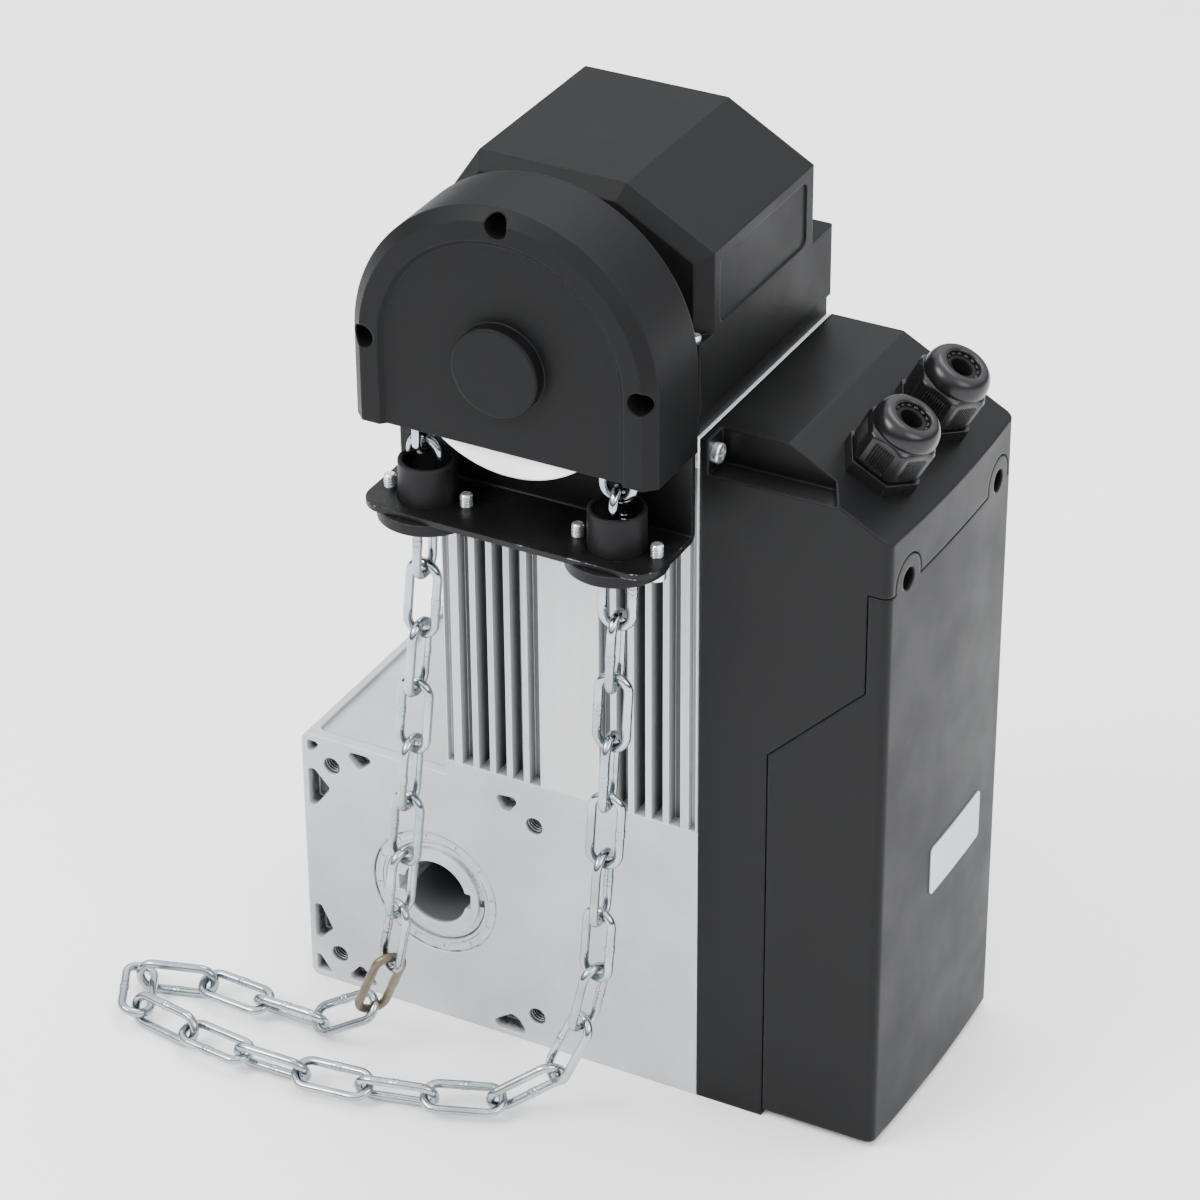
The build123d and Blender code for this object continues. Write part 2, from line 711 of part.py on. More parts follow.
# Motor
with BuildPart() as motor_housing:
    with BuildSketch(Plane.XY.offset(motor_seat)) as motor_section:
        with Locations((motor_x, motor_y)):
            Rectangle(motor_width, case_depth)
        fillet(motor_section.vertices(), motor_corner_r)
        with Locations((motor_x, motor_y)):
            Circle(motor_bore_d / 2, mode=Mode.SUBTRACT)
            core_r = motor_bore_d / 2 + slot_wall
            for quarter in range(4):
                face = case_depth / 2 if quarter % 2 == 0 else motor_width / 2
                for index in range(slot_count + 1 - quarter % 2):
                    offset = first_slot + index * slot_pitch
                    width = corner_slot_w if index == slot_count else slot_w
                    room = face - sqrt(max(core_r ** 2 - offset ** 2, 0.0))
                    depth = min(room, slot_depth_max, corner_depths.get(index, slot_depth_max))
                    for side in (-1, 1):
                        angle = radians(90 * quarter - 90)
                        along = face - depth / 2 + 0.5
                        across = side * offset
                        spot = (along * cos(angle) - across * sin(angle),
                                along * sin(angle) + across * cos(angle), 0)
                        with Locations(Location(spot, (0, 0, degrees(angle)))):
                            Rectangle(depth + 1.0, width, mode=Mode.SUBTRACT)
            with Locations(*[(x - motor_x, y - motor_y) for x, y in tie_bolt_spots]):
                Circle(tie_bolt_d / 2 + slide_gap, mode=Mode.SUBTRACT)
    extrude(amount=motor_length)
motor_housing.part.label = "motor_housing"
export_step(motor_housing.part, "parts/motor_housing.step")

with BuildPart() as stator_core:
    with BuildSketch(Plane.XY.offset(stator_z)):
        with Locations((motor_x, motor_y)):
            Circle(motor_bore_d / 2)
            Circle(stator_bore_d / 2, mode=Mode.SUBTRACT)
            with PolarLocations(stator_bore_d / 2 + 1.5 + winding_slot_depth / 2, winding_slots):
                Rectangle(winding_slot_depth, winding_slot_w, mode=Mode.SUBTRACT)
            with PolarLocations(stator_bore_d / 2 + 1.0, winding_slots):
                Rectangle(3.0, 1.2, mode=Mode.SUBTRACT)
    extrude(amount=stator_length)
stator_core.part.label = "stator_core"
export_step(stator_core.part, "parts/stator_core.step")

winding_inner_r = stator_bore_d / 2 + 2.0
winding_outer_r = motor_bore_d / 2 - winding_wall
with BuildPart() as stator_windings:
    for low in (stator_z - winding_height, stator_z + stator_length):
        with BuildSketch(Plane.XY.offset(low)):
            with Locations((motor_x, motor_y)):
                Circle(winding_outer_r)
                Circle(winding_inner_r, mode=Mode.SUBTRACT)
        extrude(amount=winding_height)
    fillet(stator_windings.edges().filter_by(GeomType.CIRCLE).group_by(Axis.Z)[0], 5.0)
    fillet(stator_windings.edges().filter_by(GeomType.CIRCLE).group_by(Axis.Z)[-1], 5.0)
    with BuildSketch(Plane.XY.offset(stator_z)):
        with Locations((motor_x, motor_y)):
            with PolarLocations(stator_bore_d / 2 + 1.5 + winding_slot_depth / 2, winding_slots):
                Rectangle(winding_slot_depth - 0.6, winding_slot_w - 0.4)
    extrude(amount=stator_length)
stator_windings.part.label = "stator_windings"
export_step(stator_windings.part, "parts/stator_windings.step")

with BuildPart() as rotor_core:
    with BuildSketch(Plane.XY.offset(stator_z)):
        with Locations((motor_x, motor_y)):
            Circle(rotor_r)
    extrude(amount=stator_length)
    with BuildSketch(Plane.XY.offset(stator_z - rotor_ring_t)):
        with Locations((motor_x, motor_y)):
            Circle(rotor_r - 1.5)
            Circle(rotor_r - 10.0, mode=Mode.SUBTRACT)
    extrude(amount=stator_length + 2 * rotor_ring_t)
    with BuildSketch(Plane.XY.offset(stator_z)):
        with Locations((motor_x, motor_y)):
            Circle(worm_high_bearing[0] / 2)
    extrude(amount=stator_length, mode=Mode.SUBTRACT)
rotor_core.part.label = "rotor_core"
export_step(rotor_core.part, "parts/rotor_core.step")

hood_front_screws = [(motor_left + 3.3, 2.3), (motor_right - 3.3, 2.3)]
hood_back_screws = [(motor_left + 14.0, 89.5), (motor_right - 14.0, 89.5)]
foot_screw_spots = [(motor_x - clutch_foot_screw_offset, motor_top + shield_t / 2),
                    (motor_x + clutch_foot_screw_offset, motor_top + shield_t / 2)]
ear_screw_y = 4.8
ear_screw_z = motor_top + 4.5

with BuildPart() as end_shield:
    with BuildSketch(Plane.XY.offset(motor_top)) as shield_plan:
        with Locations((motor_x, motor_y)):
            Rectangle(motor_width, case_depth)
        fillet(shield_plan.vertices(), motor_corner_r)
    extrude(amount=shield_t)
    with BuildSketch(Plane.XY.offset(motor_top)):
        with Locations((motor_x, motor_y)):
            Circle(motor_bore_d / 2 - slide_gap)
            Circle(motor_bore_d / 2 - 5.0, mode=Mode.SUBTRACT)
    extrude(amount=-4.0)
    with BuildSketch(Plane.XY.offset(shield_top)):
        with Locations((motor_x, motor_y)):
            Circle(motor_top_bearing[1] / 2)
    extrude(amount=-motor_top_bearing[2], mode=Mode.SUBTRACT)
    with BuildSketch(Plane.XY.offset(shield_top)):
        with Locations((motor_x, motor_y)):
            Circle(motor_top_bearing[0] / 2 + 2.0)
    extrude(amount=-shield_t, mode=Mode.SUBTRACT)
    with BuildSketch(Plane.XY.offset(shield_top)):
        with Locations(*tie_bolt_spots):
            Circle(tie_bolt_d / 2 + slide_gap)
    extrude(amount=-shield_t, mode=Mode.SUBTRACT)
    with BuildSketch(Plane.XY.offset(shield_top)):
        with Locations(*(hood_front_screws + hood_back_screws)):
            Circle(m3[0] / 2 + thread_gap)
        with Locations((motor_x, motor_y)):
            with PolarLocations(brake_bolt_r, 3, start_angle=90):
                Circle(brake_bolt_d / 2 + thread_gap)
    extrude(amount=-shield_t + 2.0, mode=Mode.SUBTRACT)
    with BuildSketch(fronts(motor_front)):
        with Locations(*foot_screw_spots):
            Circle(m5[0] / 2 + thread_gap)
    extrude(amount=-9.0, mode=Mode.SUBTRACT)
    with BuildSketch(rights(motor_right)):
        with Locations((ear_screw_y, ear_screw_z)):
            Circle(m4[0] / 2 + thread_gap)
    extrude(amount=-9.0, mode=Mode.SUBTRACT)
end_shield.part.label = "end_shield"
export_step(end_shield.part, "parts/end_shield.step")

with BuildPart() as motor_tie_bolts:
    for spot_x, spot_y in tie_bolt_spots:
        add(screw(Plane(origin=(spot_x, spot_y, shield_top), z_dir=(0, 0, 1)), m5,
                  shield_top - motor_seat + tie_bolt_bite))
motor_tie_bolts.part.label = "motor_tie_bolts"
export_step(motor_tie_bolts.part, "parts/motor_tie_bolts.step")

# Motor brake
with BuildPart(Plane(origin=(motor_x, motor_y, 0), z_dir=(0, 0, 1))) as brake_coil:
    with Locations((0, 0, coil_z)):
        Cylinder(brake_d / 2, coil_t, align=(Align.CENTER, Align.CENTER, Align.MIN))
        Cylinder(brake_hole_d / 2, coil_t, align=(Align.CENTER, Align.CENTER, Align.MIN),
                 mode=Mode.SUBTRACT)
    with Locations((0, 0, coil_z + coil_t)):
        with PolarLocations(brake_bolt_r, 3, start_angle=90):
            Hole(brake_bolt_d / 2 + slide_gap, depth=coil_t)
        with PolarLocations(brake_spring_r, 6, start_angle=60):
            Hole(brake_spring_d / 2 + 0.4, depth=brake_spring_pocket)
    fillet(brake_coil.edges().filter_by(GeomType.CIRCLE).sort_by(SortBy.RADIUS)[-1], 1.0)
brake_coil.part.label = "brake_coil"
export_step(brake_coil.part, "parts/brake_coil.step")

spring_low = coil_z + coil_t - brake_spring_pocket
spring_high = armature_z
spring_run = spring_high - spring_low - brake_spring_wire
with BuildPart() as brake_springs:
    for index in range(6):
        turn = radians(60 + 60 * index)
        spot = (motor_x + brake_spring_r * cos(turn), motor_y + brake_spring_r * sin(turn),
                spring_low + brake_spring_wire / 2)
        wire_r = (brake_spring_d - brake_spring_wire) / 2
        with BuildLine() as coil_line:
            Helix(spring_run / 4, spring_run, wire_r, center=spot)
        with BuildSketch(Plane(origin=coil_line.line @ 0, z_dir=coil_line.line % 0)):
            Circle(brake_spring_wire / 2)
        sweep(path=coil_line.line, is_frenet=True)
brake_springs.part.label = "brake_springs"
export_step(brake_springs.part, "parts/brake_springs.step")

with BuildPart() as brake_armature:
    with BuildSketch(Plane.XY.offset(armature_z)):
        with Locations((motor_x, motor_y)):
            Circle(brake_d / 2)
            Circle(brake_hole_d / 2, mode=Mode.SUBTRACT)
            with PolarLocations(brake_bolt_r, 3, start_angle=90):
                Circle(brake_bolt_d / 2 + part_gap, mode=Mode.SUBTRACT)
    extrude(amount=armature_t)
brake_armature.part.label = "brake_armature"
export_step(brake_armature.part, "parts/brake_armature.step")

with BuildPart() as brake_disc:
    with BuildSketch(Plane.XY.offset(disc_z)):
        with Locations((motor_x, motor_y)):
            Circle(disc_d / 2 - 1.0)
    extrude(amount=disc_t)
    with BuildSketch(Plane.XY.offset(disc_z - 2.0)):
        with Locations((motor_x, motor_y)):
            Circle(brake_hole_d / 2 - 2.0)
    extrude(amount=disc_t + 4.0)
    with BuildSketch(Plane.XY.offset(disc_z - 2.0)):
        with Locations((motor_x, motor_y)):
            Circle(brake_shaft_d / 2)
    extrude(amount=disc_t + 4.0, mode=Mode.SUBTRACT)
brake_disc.part.label = "brake_disc"
export_step(brake_disc.part, "parts/brake_disc.step")

with BuildPart() as brake_plate:
    with BuildSketch(Plane.XY.offset(brake_plate_z)):
        with Locations((motor_x, motor_y)):
            Circle(brake_d / 2)
            Circle(brake_hole_d / 2, mode=Mode.SUBTRACT)
            with PolarLocations(brake_bolt_r, 3, start_angle=90):
                Circle(brake_bolt_d / 2 + slide_gap, mode=Mode.SUBTRACT)
    extrude(amount=plate_t)
brake_plate.part.label = "brake_plate"
export_step(brake_plate.part, "parts/brake_plate.step")

with BuildPart() as brake_bolts:
    for index in range(3):
        turn = radians(90 + 120 * index)
        spot = (motor_x + brake_bolt_r * cos(turn), motor_y + brake_bolt_r * sin(turn),
                brake_plate_z + plate_t)
        add(screw(Plane(origin=spot, z_dir=(0, 0, 1)), (brake_bolt_d, m4[1], m4[2]),
                  brake_plate_z + plate_t - coil_z + 6.0))
brake_bolts.part.label = "brake_bolts"
export_step(brake_bolts.part, "parts/brake_bolts.step")

# Mitre gears between the motor shaft and the hand shaft
bevel_pitch_r = bevel_module * bevel_teeth / 2
cone_length = bevel_pitch_r * sqrt(2)
tip_cone = radians(45) + atan(bevel_module / cone_length)
root_cone = radians(45) - atan(1.25 * bevel_module / cone_length)
back_pitch_r = cone_length
back_base_r = back_pitch_r * cos(radians(pressure_angle))
bevel_half = (pi * bevel_module / 2 - bevel_backlash) / 2
bevel_levels = [
    (bevel_pitch_r * tan(root_cone),
     half_tooth(back_base_r, back_pitch_r, back_base_r, bevel_half)),
    (bevel_pitch_r, bevel_half),
    (bevel_pitch_r * tan(tip_cone),
     half_tooth(back_pitch_r + bevel_module, back_pitch_r, back_base_r, bevel_half)),
]
small_end = 1 - bevel_face / cone_length
bevel_step = 360.0 / bevel_teeth


def bevel_gear(plane, first, bore):
    """Mitre gear whose cone apex is the plane's origin and whose axis is its normal."""
    with BuildPart(plane) as made:
        for share in (1.0, small_end):
            with BuildSketch(plane.offset(bevel_pitch_r * share)):
                with BuildLine():
                    level = [(r * share, half * share) for r, half in bevel_levels]
                    Polyline(*gear_outline(bevel_teeth, level, first), close=True)
                make_face()
        loft(ruled=True)
        with BuildSketch(plane.offset(bevel_pitch_r)):
            Circle(bevel_hub_d / 2)
        extrude(amount=bevel_hub_l)
        with BuildSketch(plane):
            Circle(bore / 2)
        extrude(amount=bevel_pitch_r + bevel_hub_l, mode=Mode.SUBTRACT)
    return made.part


apex = (motor_x, motor_y, hand_z)
with BuildPart() as crown_gear:
    add(bevel_gear(Plane(origin=apex, x_dir=(0, -1, 0), z_dir=(0, 0, 1)), 0.0, brake_shaft_d))
crown_gear.part.label = "crown_gear"
export_step(crown_gear.part, "parts/crown_gear.step")

with BuildPart() as bevel_pinion:
    add(bevel_gear(Plane(origin=apex, x_dir=(0, 0, 1), z_dir=(0, -1, 0)), bevel_step / 2,
                   hand_shaft_d))
bevel_pinion.part.label = "bevel_pinion"
export_step(bevel_pinion.part, "parts/bevel_pinion.step")

# Hand shaft, its bearings and the clutch
boss_front = cover_front + panel_recess - cover_boss_proud
hand_shaft_front = boss_front + cover_wall + 1.4
hand_shaft_back = motor_y - bevel_pitch_r * small_end
sleeve_front = wheel_back + 0.4 + clutch_travel - sleeve_cone_l
sleeve_back = sleeve_front + sleeve_l
key_front = sleeve_front - clutch_travel - 0.5


def on_hand_axis(y):
    return Plane(origin=(motor_x, y, hand_z), x_dir=(1, 0, 0), z_dir=(0, -1, 0))


with BuildPart() as hand_shaft:
    with BuildSketch(on_hand_axis(hand_shaft_front)):
        Circle(hand_shaft_d / 2)
    extrude(amount=-(hand_shaft_back - hand_shaft_front))
    with BuildSketch(on_hand_axis(wheel_front - 1.8)):
        Circle(hand_shaft_d / 2)
        Circle(hand_shaft_d / 2 - 1.0, mode=Mode.SUBTRACT)
    extrude(amount=-1.2, mode=Mode.SUBTRACT)
    with BuildSketch(on_hand_axis(key_front)):
        with Locations((0, hand_shaft_d / 2)):
            Rectangle(clutch_key_w, 2 * clutch_key_proud)
    extrude(amount=-(sleeve_back - key_front), mode=Mode.SUBTRACT)
    chamfer(hand_shaft.edges().group_by(Axis.Y)[0], 0.8)
hand_shaft.part.label = "hand_shaft"
export_step(hand_shaft.part, "parts/hand_shaft.step")

with BuildPart() as clutch_key:
    with BuildSketch(on_hand_axis(key_front)):
        with Locations((0, hand_shaft_d / 2)):
            Rectangle(clutch_key_w, 2 * clutch_key_proud)
    extrude(amount=-(sleeve_back - key_front))
clutch_key.part.label = "clutch_key"
export_step(clutch_key.part, "parts/clutch_key.step")

with BuildPart() as wheel_clip:
    with BuildSketch(on_hand_axis(wheel_front - 1.8)):
        Circle(hand_shaft_d / 2 + 2.5)
        Circle(hand_shaft_d / 2 - 1.0, mode=Mode.SUBTRACT)
        with Locations((hand_shaft_d / 2, 0)):
            Rectangle(hand_shaft_d, 3.0, mode=Mode.SUBTRACT)
    extrude(amount=-1.2)
wheel_clip.part.label = "wheel_clip"
export_step(wheel_clip.part, "parts/wheel_clip.step")

bush_outer_r = shaft_hole_r + bush_wall
with BuildPart() as hand_shaft_bushes:
    for bush_y in (plate_back + clutch_room_depth, tube_length - bush_length):
        with BuildSketch(on_hand_axis(bush_y)):
            Circle(bush_outer_r)
            Circle(shaft_hole_r, mode=Mode.SUBTRACT)
        extrude(amount=-bush_length)
hand_shaft_bushes.part.label = "hand_shaft_bushes"
export_step(hand_shaft_bushes.part, "parts/hand_shaft_bushes.step")

block_front = plate_back
block_back = block_front + clutch_block_t
plate_screw_spots = [(motor_x - 8.0, hand_z - 31.5), (motor_x + 8.0, hand_z - 31.5),
                     (motor_x - 15.0, hand_z + 16.0), (motor_x + 15.0, hand_z + 16.0)]
with BuildPart() as clutch_housing:
    with BuildSketch(fronts(block_front)):
        with Locations((motor_x, hand_z)):
            Circle(clutch_block_d / 2)
        foot_low = motor_top - clutch_foot_drop
        with Locations((motor_x, (foot_low + hand_z) / 2)):
            Rectangle(clutch_foot_w, hand_z - foot_low)
    extrude(amount=-clutch_block_t)
    with BuildSketch(on_hand_axis(block_back)):
        Circle(bush_outer_r + tube_wall)
    extrude(amount=-(tube_length - block_back))
    with BuildSketch(on_hand_axis(block_front)):
        Circle(bush_outer_r)
    extrude(amount=-(tube_length - block_front), mode=Mode.SUBTRACT)
    with BuildSketch(on_hand_axis(block_front)):
        Circle(clutch_room_d / 2)
    extrude(amount=-clutch_room_depth, mode=Mode.SUBTRACT)
    with BuildSketch(fronts(block_front)):
        with Locations(*foot_screw_spots):
            Circle(m5[0] / 2 + slide_gap)
    extrude(amount=-clutch_block_t, mode=Mode.SUBTRACT)
    with BuildSketch(fronts(block_front)):
        with Locations(*foot_screw_spots):
            Circle(m5[1] / 2 + slide_gap)
    extrude(amount=-(m5[2] + 0.5), mode=Mode.SUBTRACT)
    with BuildSketch(fronts(block_front)):
        with Locations(*plate_screw_spots):
            Circle(m4[0] / 2 + thread_gap)
    extrude(amount=-9.0, mode=Mode.SUBTRACT)
clutch_housing.part.label = "clutch_housing"
export_step(clutch_housing.part, "parts/clutch_housing.step")

nose_tip_r = sleeve_nose_d / 2 - sleeve_cone * sleeve_cone_l
with BuildPart() as clutch_sleeve:
    with BuildSketch(on_hand_axis(sleeve_front)):
        Circle(nose_tip_r)
    with BuildSketch(on_hand_axis(sleeve_front + sleeve_cone_l)):
        Circle(sleeve_nose_d / 2)
    loft()
    with BuildSketch(on_hand_axis(sleeve_front + sleeve_cone_l)):
        Circle(sleeve_nose_d / 2)
    extrude(amount=-(sleeve_l - sleeve_cone_l))
    with BuildSketch(on_hand_axis(sleeve_front + sleeve_cone_l + 5.0)):
        Circle(sleeve_nose_d / 2)
        Circle(sleeve_nose_d / 2 - 2.5, mode=Mode.SUBTRACT)
    extrude(amount=-4.0, mode=Mode.SUBTRACT)
    with BuildSketch(on_hand_axis(sleeve_front)):
        Circle(shaft_hole_r)
        with Locations((0, hand_shaft_d / 2)):
            Rectangle(clutch_key_w + 2 * slide_gap, 2 * (clutch_key_proud + slide_gap))
    extrude(amount=-sleeve_l, mode=Mode.SUBTRACT)
clutch_sleeve.part.label = "clutch_sleeve"
export_step(clutch_sleeve.part, "parts/clutch_sleeve.step")

# Hand chain: links follow a route of hand-chosen points, one chord per link
chain_step = 23.0
turn_link = 16
arc_radius = chain_step / 2 / sin(radians(wheel_step_angle / 2))
half_wrap = radians(wheel_step_angle * links_on_wheel / 2)
hang_x = arc_radius * sin(half_wrap)
hang_z = hand_z + arc_radius * cos(half_wrap)
floor_z = -case_reach + link_width / 2 + 0.1
end_reach = (link_length - chain_wire) / 2
turn_reach = 9.3
chain_route = [
    (motor_x - hang_x, chain_plane, hang_z), (motor_x - 35.4, chain_plane, 215.0),
    (motor_x - 35.6, chain_plane, 185.0), (17.6, chain_plane, 150.0), (13.6, chain_plane, 110.0),
    (9.6, chain_plane, 68.0), (5.6, chain_plane, 30.0), (1.0, chain_plane, -3.0),
    (-5.6, chain_plane, -25.0), (-15.5, -30.6, -39.5), (-31.0, -32.0, floor_z),
    (-52.8, -32.0, floor_z), (-75.0, -30.5, floor_z), (-90.0, -31.5, floor_z),
    (-101.0, -36.0, floor_z), (-102.0, -49.5, floor_z), (-91.0, -55.0, floor_z),
    (-66.0, -58.6, floor_z), (-42.2, -60.9, floor_z), (-21.2, -60.3, floor_z),
    (2.5, -57.4, floor_z), (22.9, -52.4, floor_z), (43.4, -45.5, floor_z),
    (46.0, -44.4, floor_z), (56.5, -39.3, -42.6), (66.0, -34.4, -34.0), (73.0, -30.8, -18.5),
    (78.6, chain_plane, 0.0), (82.0, chain_plane, 30.0), (85.4, chain_plane, 80.0),
    (88.0, chain_plane, 125.0), (motor_x + 34.9, chain_plane, 165.0),
    (motor_x + 35.2, chain_plane, 190.0), (motor_x + 35.2, chain_plane, 215.0),
    (motor_x + hang_x, chain_plane, hang_z),
]
route_line = Spline(*chain_route)
route_samples = [route_line @ (i / 3000) for i in range(3001)]


def reaches(step, index):
    """How far a link's two hinge points lie from its middle."""
    if index == turn_link:
        return turn_reach, turn_reach
    if index == turn_link - 1:
        return step / 2, end_reach
    if index == turn_link + 1:
        return end_reach, step / 2
    return step / 2, step / 2


def walk(step):
    """Hinge points along the route, one chord per link."""
    nodes = [route_samples[0]]
    for sample in route_samples:
        need = sum(reaches(step, len(nodes) - 1))
        if (sample - nodes[-1]).length >= need:
            before = nodes[-1]
            nodes.append(before + (sample - before).normalized() * need)
    return nodes


link_count = 36
low_step = 20.0
high_step = 27.0
for _ in range(40):
    middle_step = (low_step + high_step) / 2
    if len(walk(middle_step)) > link_count:
        low_step = middle_step
    else:
        high_step = middle_step
chain_nodes = walk(high_step)[:link_count] + [route_samples[-1]]


def chain_link(centre, along, across):
    """One round-wire link: its long way lies along, its width across."""
    bend_radius = (link_width - chain_wire) / 2
    straight = link_length - link_width
    plane = Plane(origin=centre, x_dir=along, z_dir=along.cross(across))
    with BuildPart() as made:
        with BuildLine(plane) as wire:
            side_line = Polyline((-straight / 2, bend_radius), (straight / 2, bend_radius))
            JernArc(side_line @ 1, side_line % 1, bend_radius, -180)
            back = Line(wire.line @ 1, wire.line @ 1 + along * -straight)
            JernArc(back @ 1, back % 1, bend_radius, -180)
        start = plane.from_local_coords((-straight / 2, bend_radius, 0))
        with BuildSketch(Plane(origin=start, z_dir=along)):
            Circle(chain_wire / 2)
        sweep(path=wire.line)
    return made.part


links = []
side_way = Vector(0, 1, 0)
for index in range(link_count):
    start, end = chain_nodes[index], chain_nodes[index + 1]
    along = (end - start).normalized()
    side_way = (side_way - along * side_way.dot(along)).normalized()
    middle = start + along * reaches(high_step, index)[0]
    settle = min(1.0, max(0.0, (60.0 - middle.Z) / 95.0))
    turning = min(1.0, max(0.0, (-35.0 - middle.X) / 50.0))
    twist = 45.0 * settle + 45.0 * turning
    if index == turn_link:
        twist = 90.0
    if index > turn_link:
        twist = 180.0 - twist
    roll = 90.0 * ((index + 1) % 2) + twist
    across = side_way.rotate(Axis((0, 0, 0), tuple(along)), roll)
    links.append((middle, along, across))

left_links = [l for l in links[:link_count // 2] if l[0].Z > -22.0]
right_links = [l for l in links[link_count // 2:] if l[0].Z > -30.0]
floor_links = [l for l in links if l not in left_links and l not in right_links]
joining_link = floor_links.pop(0)

with BuildPart() as chain_left_strand:
    for centre, along, across in left_links:
        add(chain_link(centre, along, across))
chain_left_strand.part.label = "chain_left_strand"
export_step(chain_left_strand.part, "parts/chain_left_strand.step")

with BuildPart() as chain_joining_link:
    add(chain_link(*joining_link))
chain_joining_link.part.label = "chain_joining_link"
export_step(chain_joining_link.part, "parts/chain_joining_link.step")

with BuildPart() as chain_floor_loop:
    for centre, along, across in floor_links:
        add(chain_link(centre, along, across))
chain_floor_loop.part.label = "chain_floor_loop"
export_step(chain_floor_loop.part, "parts/chain_floor_loop.step")

with BuildPart() as chain_right_strand:
    for centre, along, across in right_links:
        add(chain_link(centre, along, across))
chain_right_strand.part.label = "chain_right_strand"
export_step(chain_right_strand.part, "parts/chain_right_strand.step")

with BuildPart() as chain_over_wheel:
    for index in range(links_on_wheel):
        turn = radians(wheel_step_angle * (index - (links_on_wheel - 1) / 2))
        reach = arc_radius * cos(radians(wheel_step_angle / 2))
        centre = Vector(motor_x + reach * sin(turn), chain_plane, hand_z + reach * cos(turn))
        along = Vector(cos(turn), 0, -sin(turn))
        radial = Vector(sin(turn), 0, cos(turn))
        add(chain_link(centre, along, radial if index % 2 else Vector(0, 1, 0)))
chain_over_wheel.part.label = "chain_over_wheel"
export_step(chain_over_wheel.part, "parts/chain_over_wheel.step")

# Chain wheel: a wide groove for the flat links over a narrow one for the upright links
apothem = arc_radius * cos(radians(wheel_step_angle / 2))
flat_groove_r = apothem - chain_wire / 2 - chain_clear
upright_groove_r = apothem - link_width / 2 - chain_clear
cone_mouth_r = sleeve_nose_d / 2 + cone_gap + sleeve_cone * 0.4
cone_depth = sleeve_cone_l + 0.4
with BuildPart() as chain_wheel:
    with BuildSketch(on_hand_axis(wheel_front)):
        Circle(chain_wheel_d / 2)
    extrude(amount=-chain_wheel_w)
    chamfer(chain_wheel.edges().filter_by(GeomType.CIRCLE), 0.8)
    with BuildSketch(on_hand_axis(chain_plane - wheel_groove_w / 2)):
        Circle(chain_wheel_d)
        Circle(flat_groove_r, mode=Mode.SUBTRACT)
    extrude(amount=-wheel_groove_w, mode=Mode.SUBTRACT)
    with BuildSketch(on_hand_axis(chain_plane - wheel_slot_w / 2)):
        Circle(chain_wheel_d)
        Circle(upright_groove_r, mode=Mode.SUBTRACT)
    extrude(amount=-wheel_slot_w, mode=Mode.SUBTRACT)
    with BuildSketch(on_hand_axis(wheel_front)):
        with PolarLocations(spoke_hole_ring_d / 2, wheel_spokes):
            Circle(spoke_hole_d / 2)
    extrude(amount=-chain_wheel_w, mode=Mode.SUBTRACT)
    with BuildSketch(on_hand_axis(wheel_back)):
        Circle(cone_mouth_r)
    with BuildSketch(on_hand_axis(wheel_back - cone_depth)):
        Circle(cone_mouth_r - sleeve_cone * cone_depth)
    loft(mode=Mode.SUBTRACT)
    with BuildSketch(on_hand_axis(wheel_front)):
        Circle(shaft_hole_r)
    extrude(amount=-chain_wheel_w, mode=Mode.SUBTRACT)
chain_wheel.part.label = "chain_wheel"
export_step(chain_wheel.part, "parts/chain_wheel.step")

# Bracket: one bent sheet, round behind the wheel and with a shelf for the guides
guide_spots = [motor_x - guide_offset, motor_x + guide_offset]
cover_screw_spots = [(motor_x + cover_screw_ring_d / 2 * cos(radians(a)),
                      hand_z + cover_screw_ring_d / 2 * sin(radians(a))) for a in (0, 90, 180)]
plate_r = cover_d / 2 - cover_wall - part_gap
shelf_bottom = shelf_top - sheet_t
with BuildPart() as chain_bracket:
    with BuildSketch(fronts(plate_front)):
        with Locations((motor_x, hand_z)):
            Circle(plate_r)
        with Locations((motor_x, (hand_z + shelf_bottom) / 2)):
            Rectangle(2 * plate_r, hand_z - shelf_bottom)
        with Locations((motor_x, (cover_bottom - 1.0 + shelf_bottom) / 2)):
            Rectangle(2 * shelf_half_w, cover_bottom - 1.0 - shelf_bottom)
    extrude(amount=-sheet_t)
    with BuildSketch(Plane.XY.offset(shelf_bottom)) as shelf:
        with Locations((motor_x, (shelf_front + plate_back) / 2)):
            Rectangle(2 * shelf_half_w, plate_back - shelf_front)
        fillet(shelf.vertices().group_by(Axis.Y)[0], shelf_corner_r)
    extrude(amount=sheet_t)
    bend_outer = chain_bracket.edges().filter_by(Axis.X).filter_by(
        lambda e: abs(e.center().Z - shelf_bottom) < 0.01 and abs(e.center().Y - plate_back) < 0.01)
    fillet(bend_outer, bend_r)
    bend_inner = chain_bracket.edges().filter_by(Axis.X).filter_by(
        lambda e: abs(e.center().Z - shelf_top) < 0.01 and abs(e.center().Y - plate_front) < 0.01)
    fillet(bend_inner, bend_r - sheet_t)
    with BuildSketch(Plane.XY.offset(shelf_top)):
        with Locations(*[(x, chain_plane) for x in guide_spots]):
            Circle(guide_tube_d / 2 + part_gap)
            with Locations((-guide_screw_offset, 0), (guide_screw_offset, 0)):
                Circle(m4[0] / 2 + thread_gap)
    extrude(amount=-sheet_t, mode=Mode.SUBTRACT)
    with BuildSketch(fronts(plate_front)):
        with Locations((motor_x, hand_z)):
            Circle(bracket_hole_d / 2)
        with Locations(*cover_screw_spots):
            Circle(m4[0] / 2 + thread_gap)
        with Locations(*plate_screw_spots):
            Circle(m4[0] / 2 + slide_gap)
    extrude(amount=-sheet_t, mode=Mode.SUBTRACT)
chain_bracket.part.label = "chain_bracket"
export_step(chain_bracket.part, "parts/chain_bracket.step")

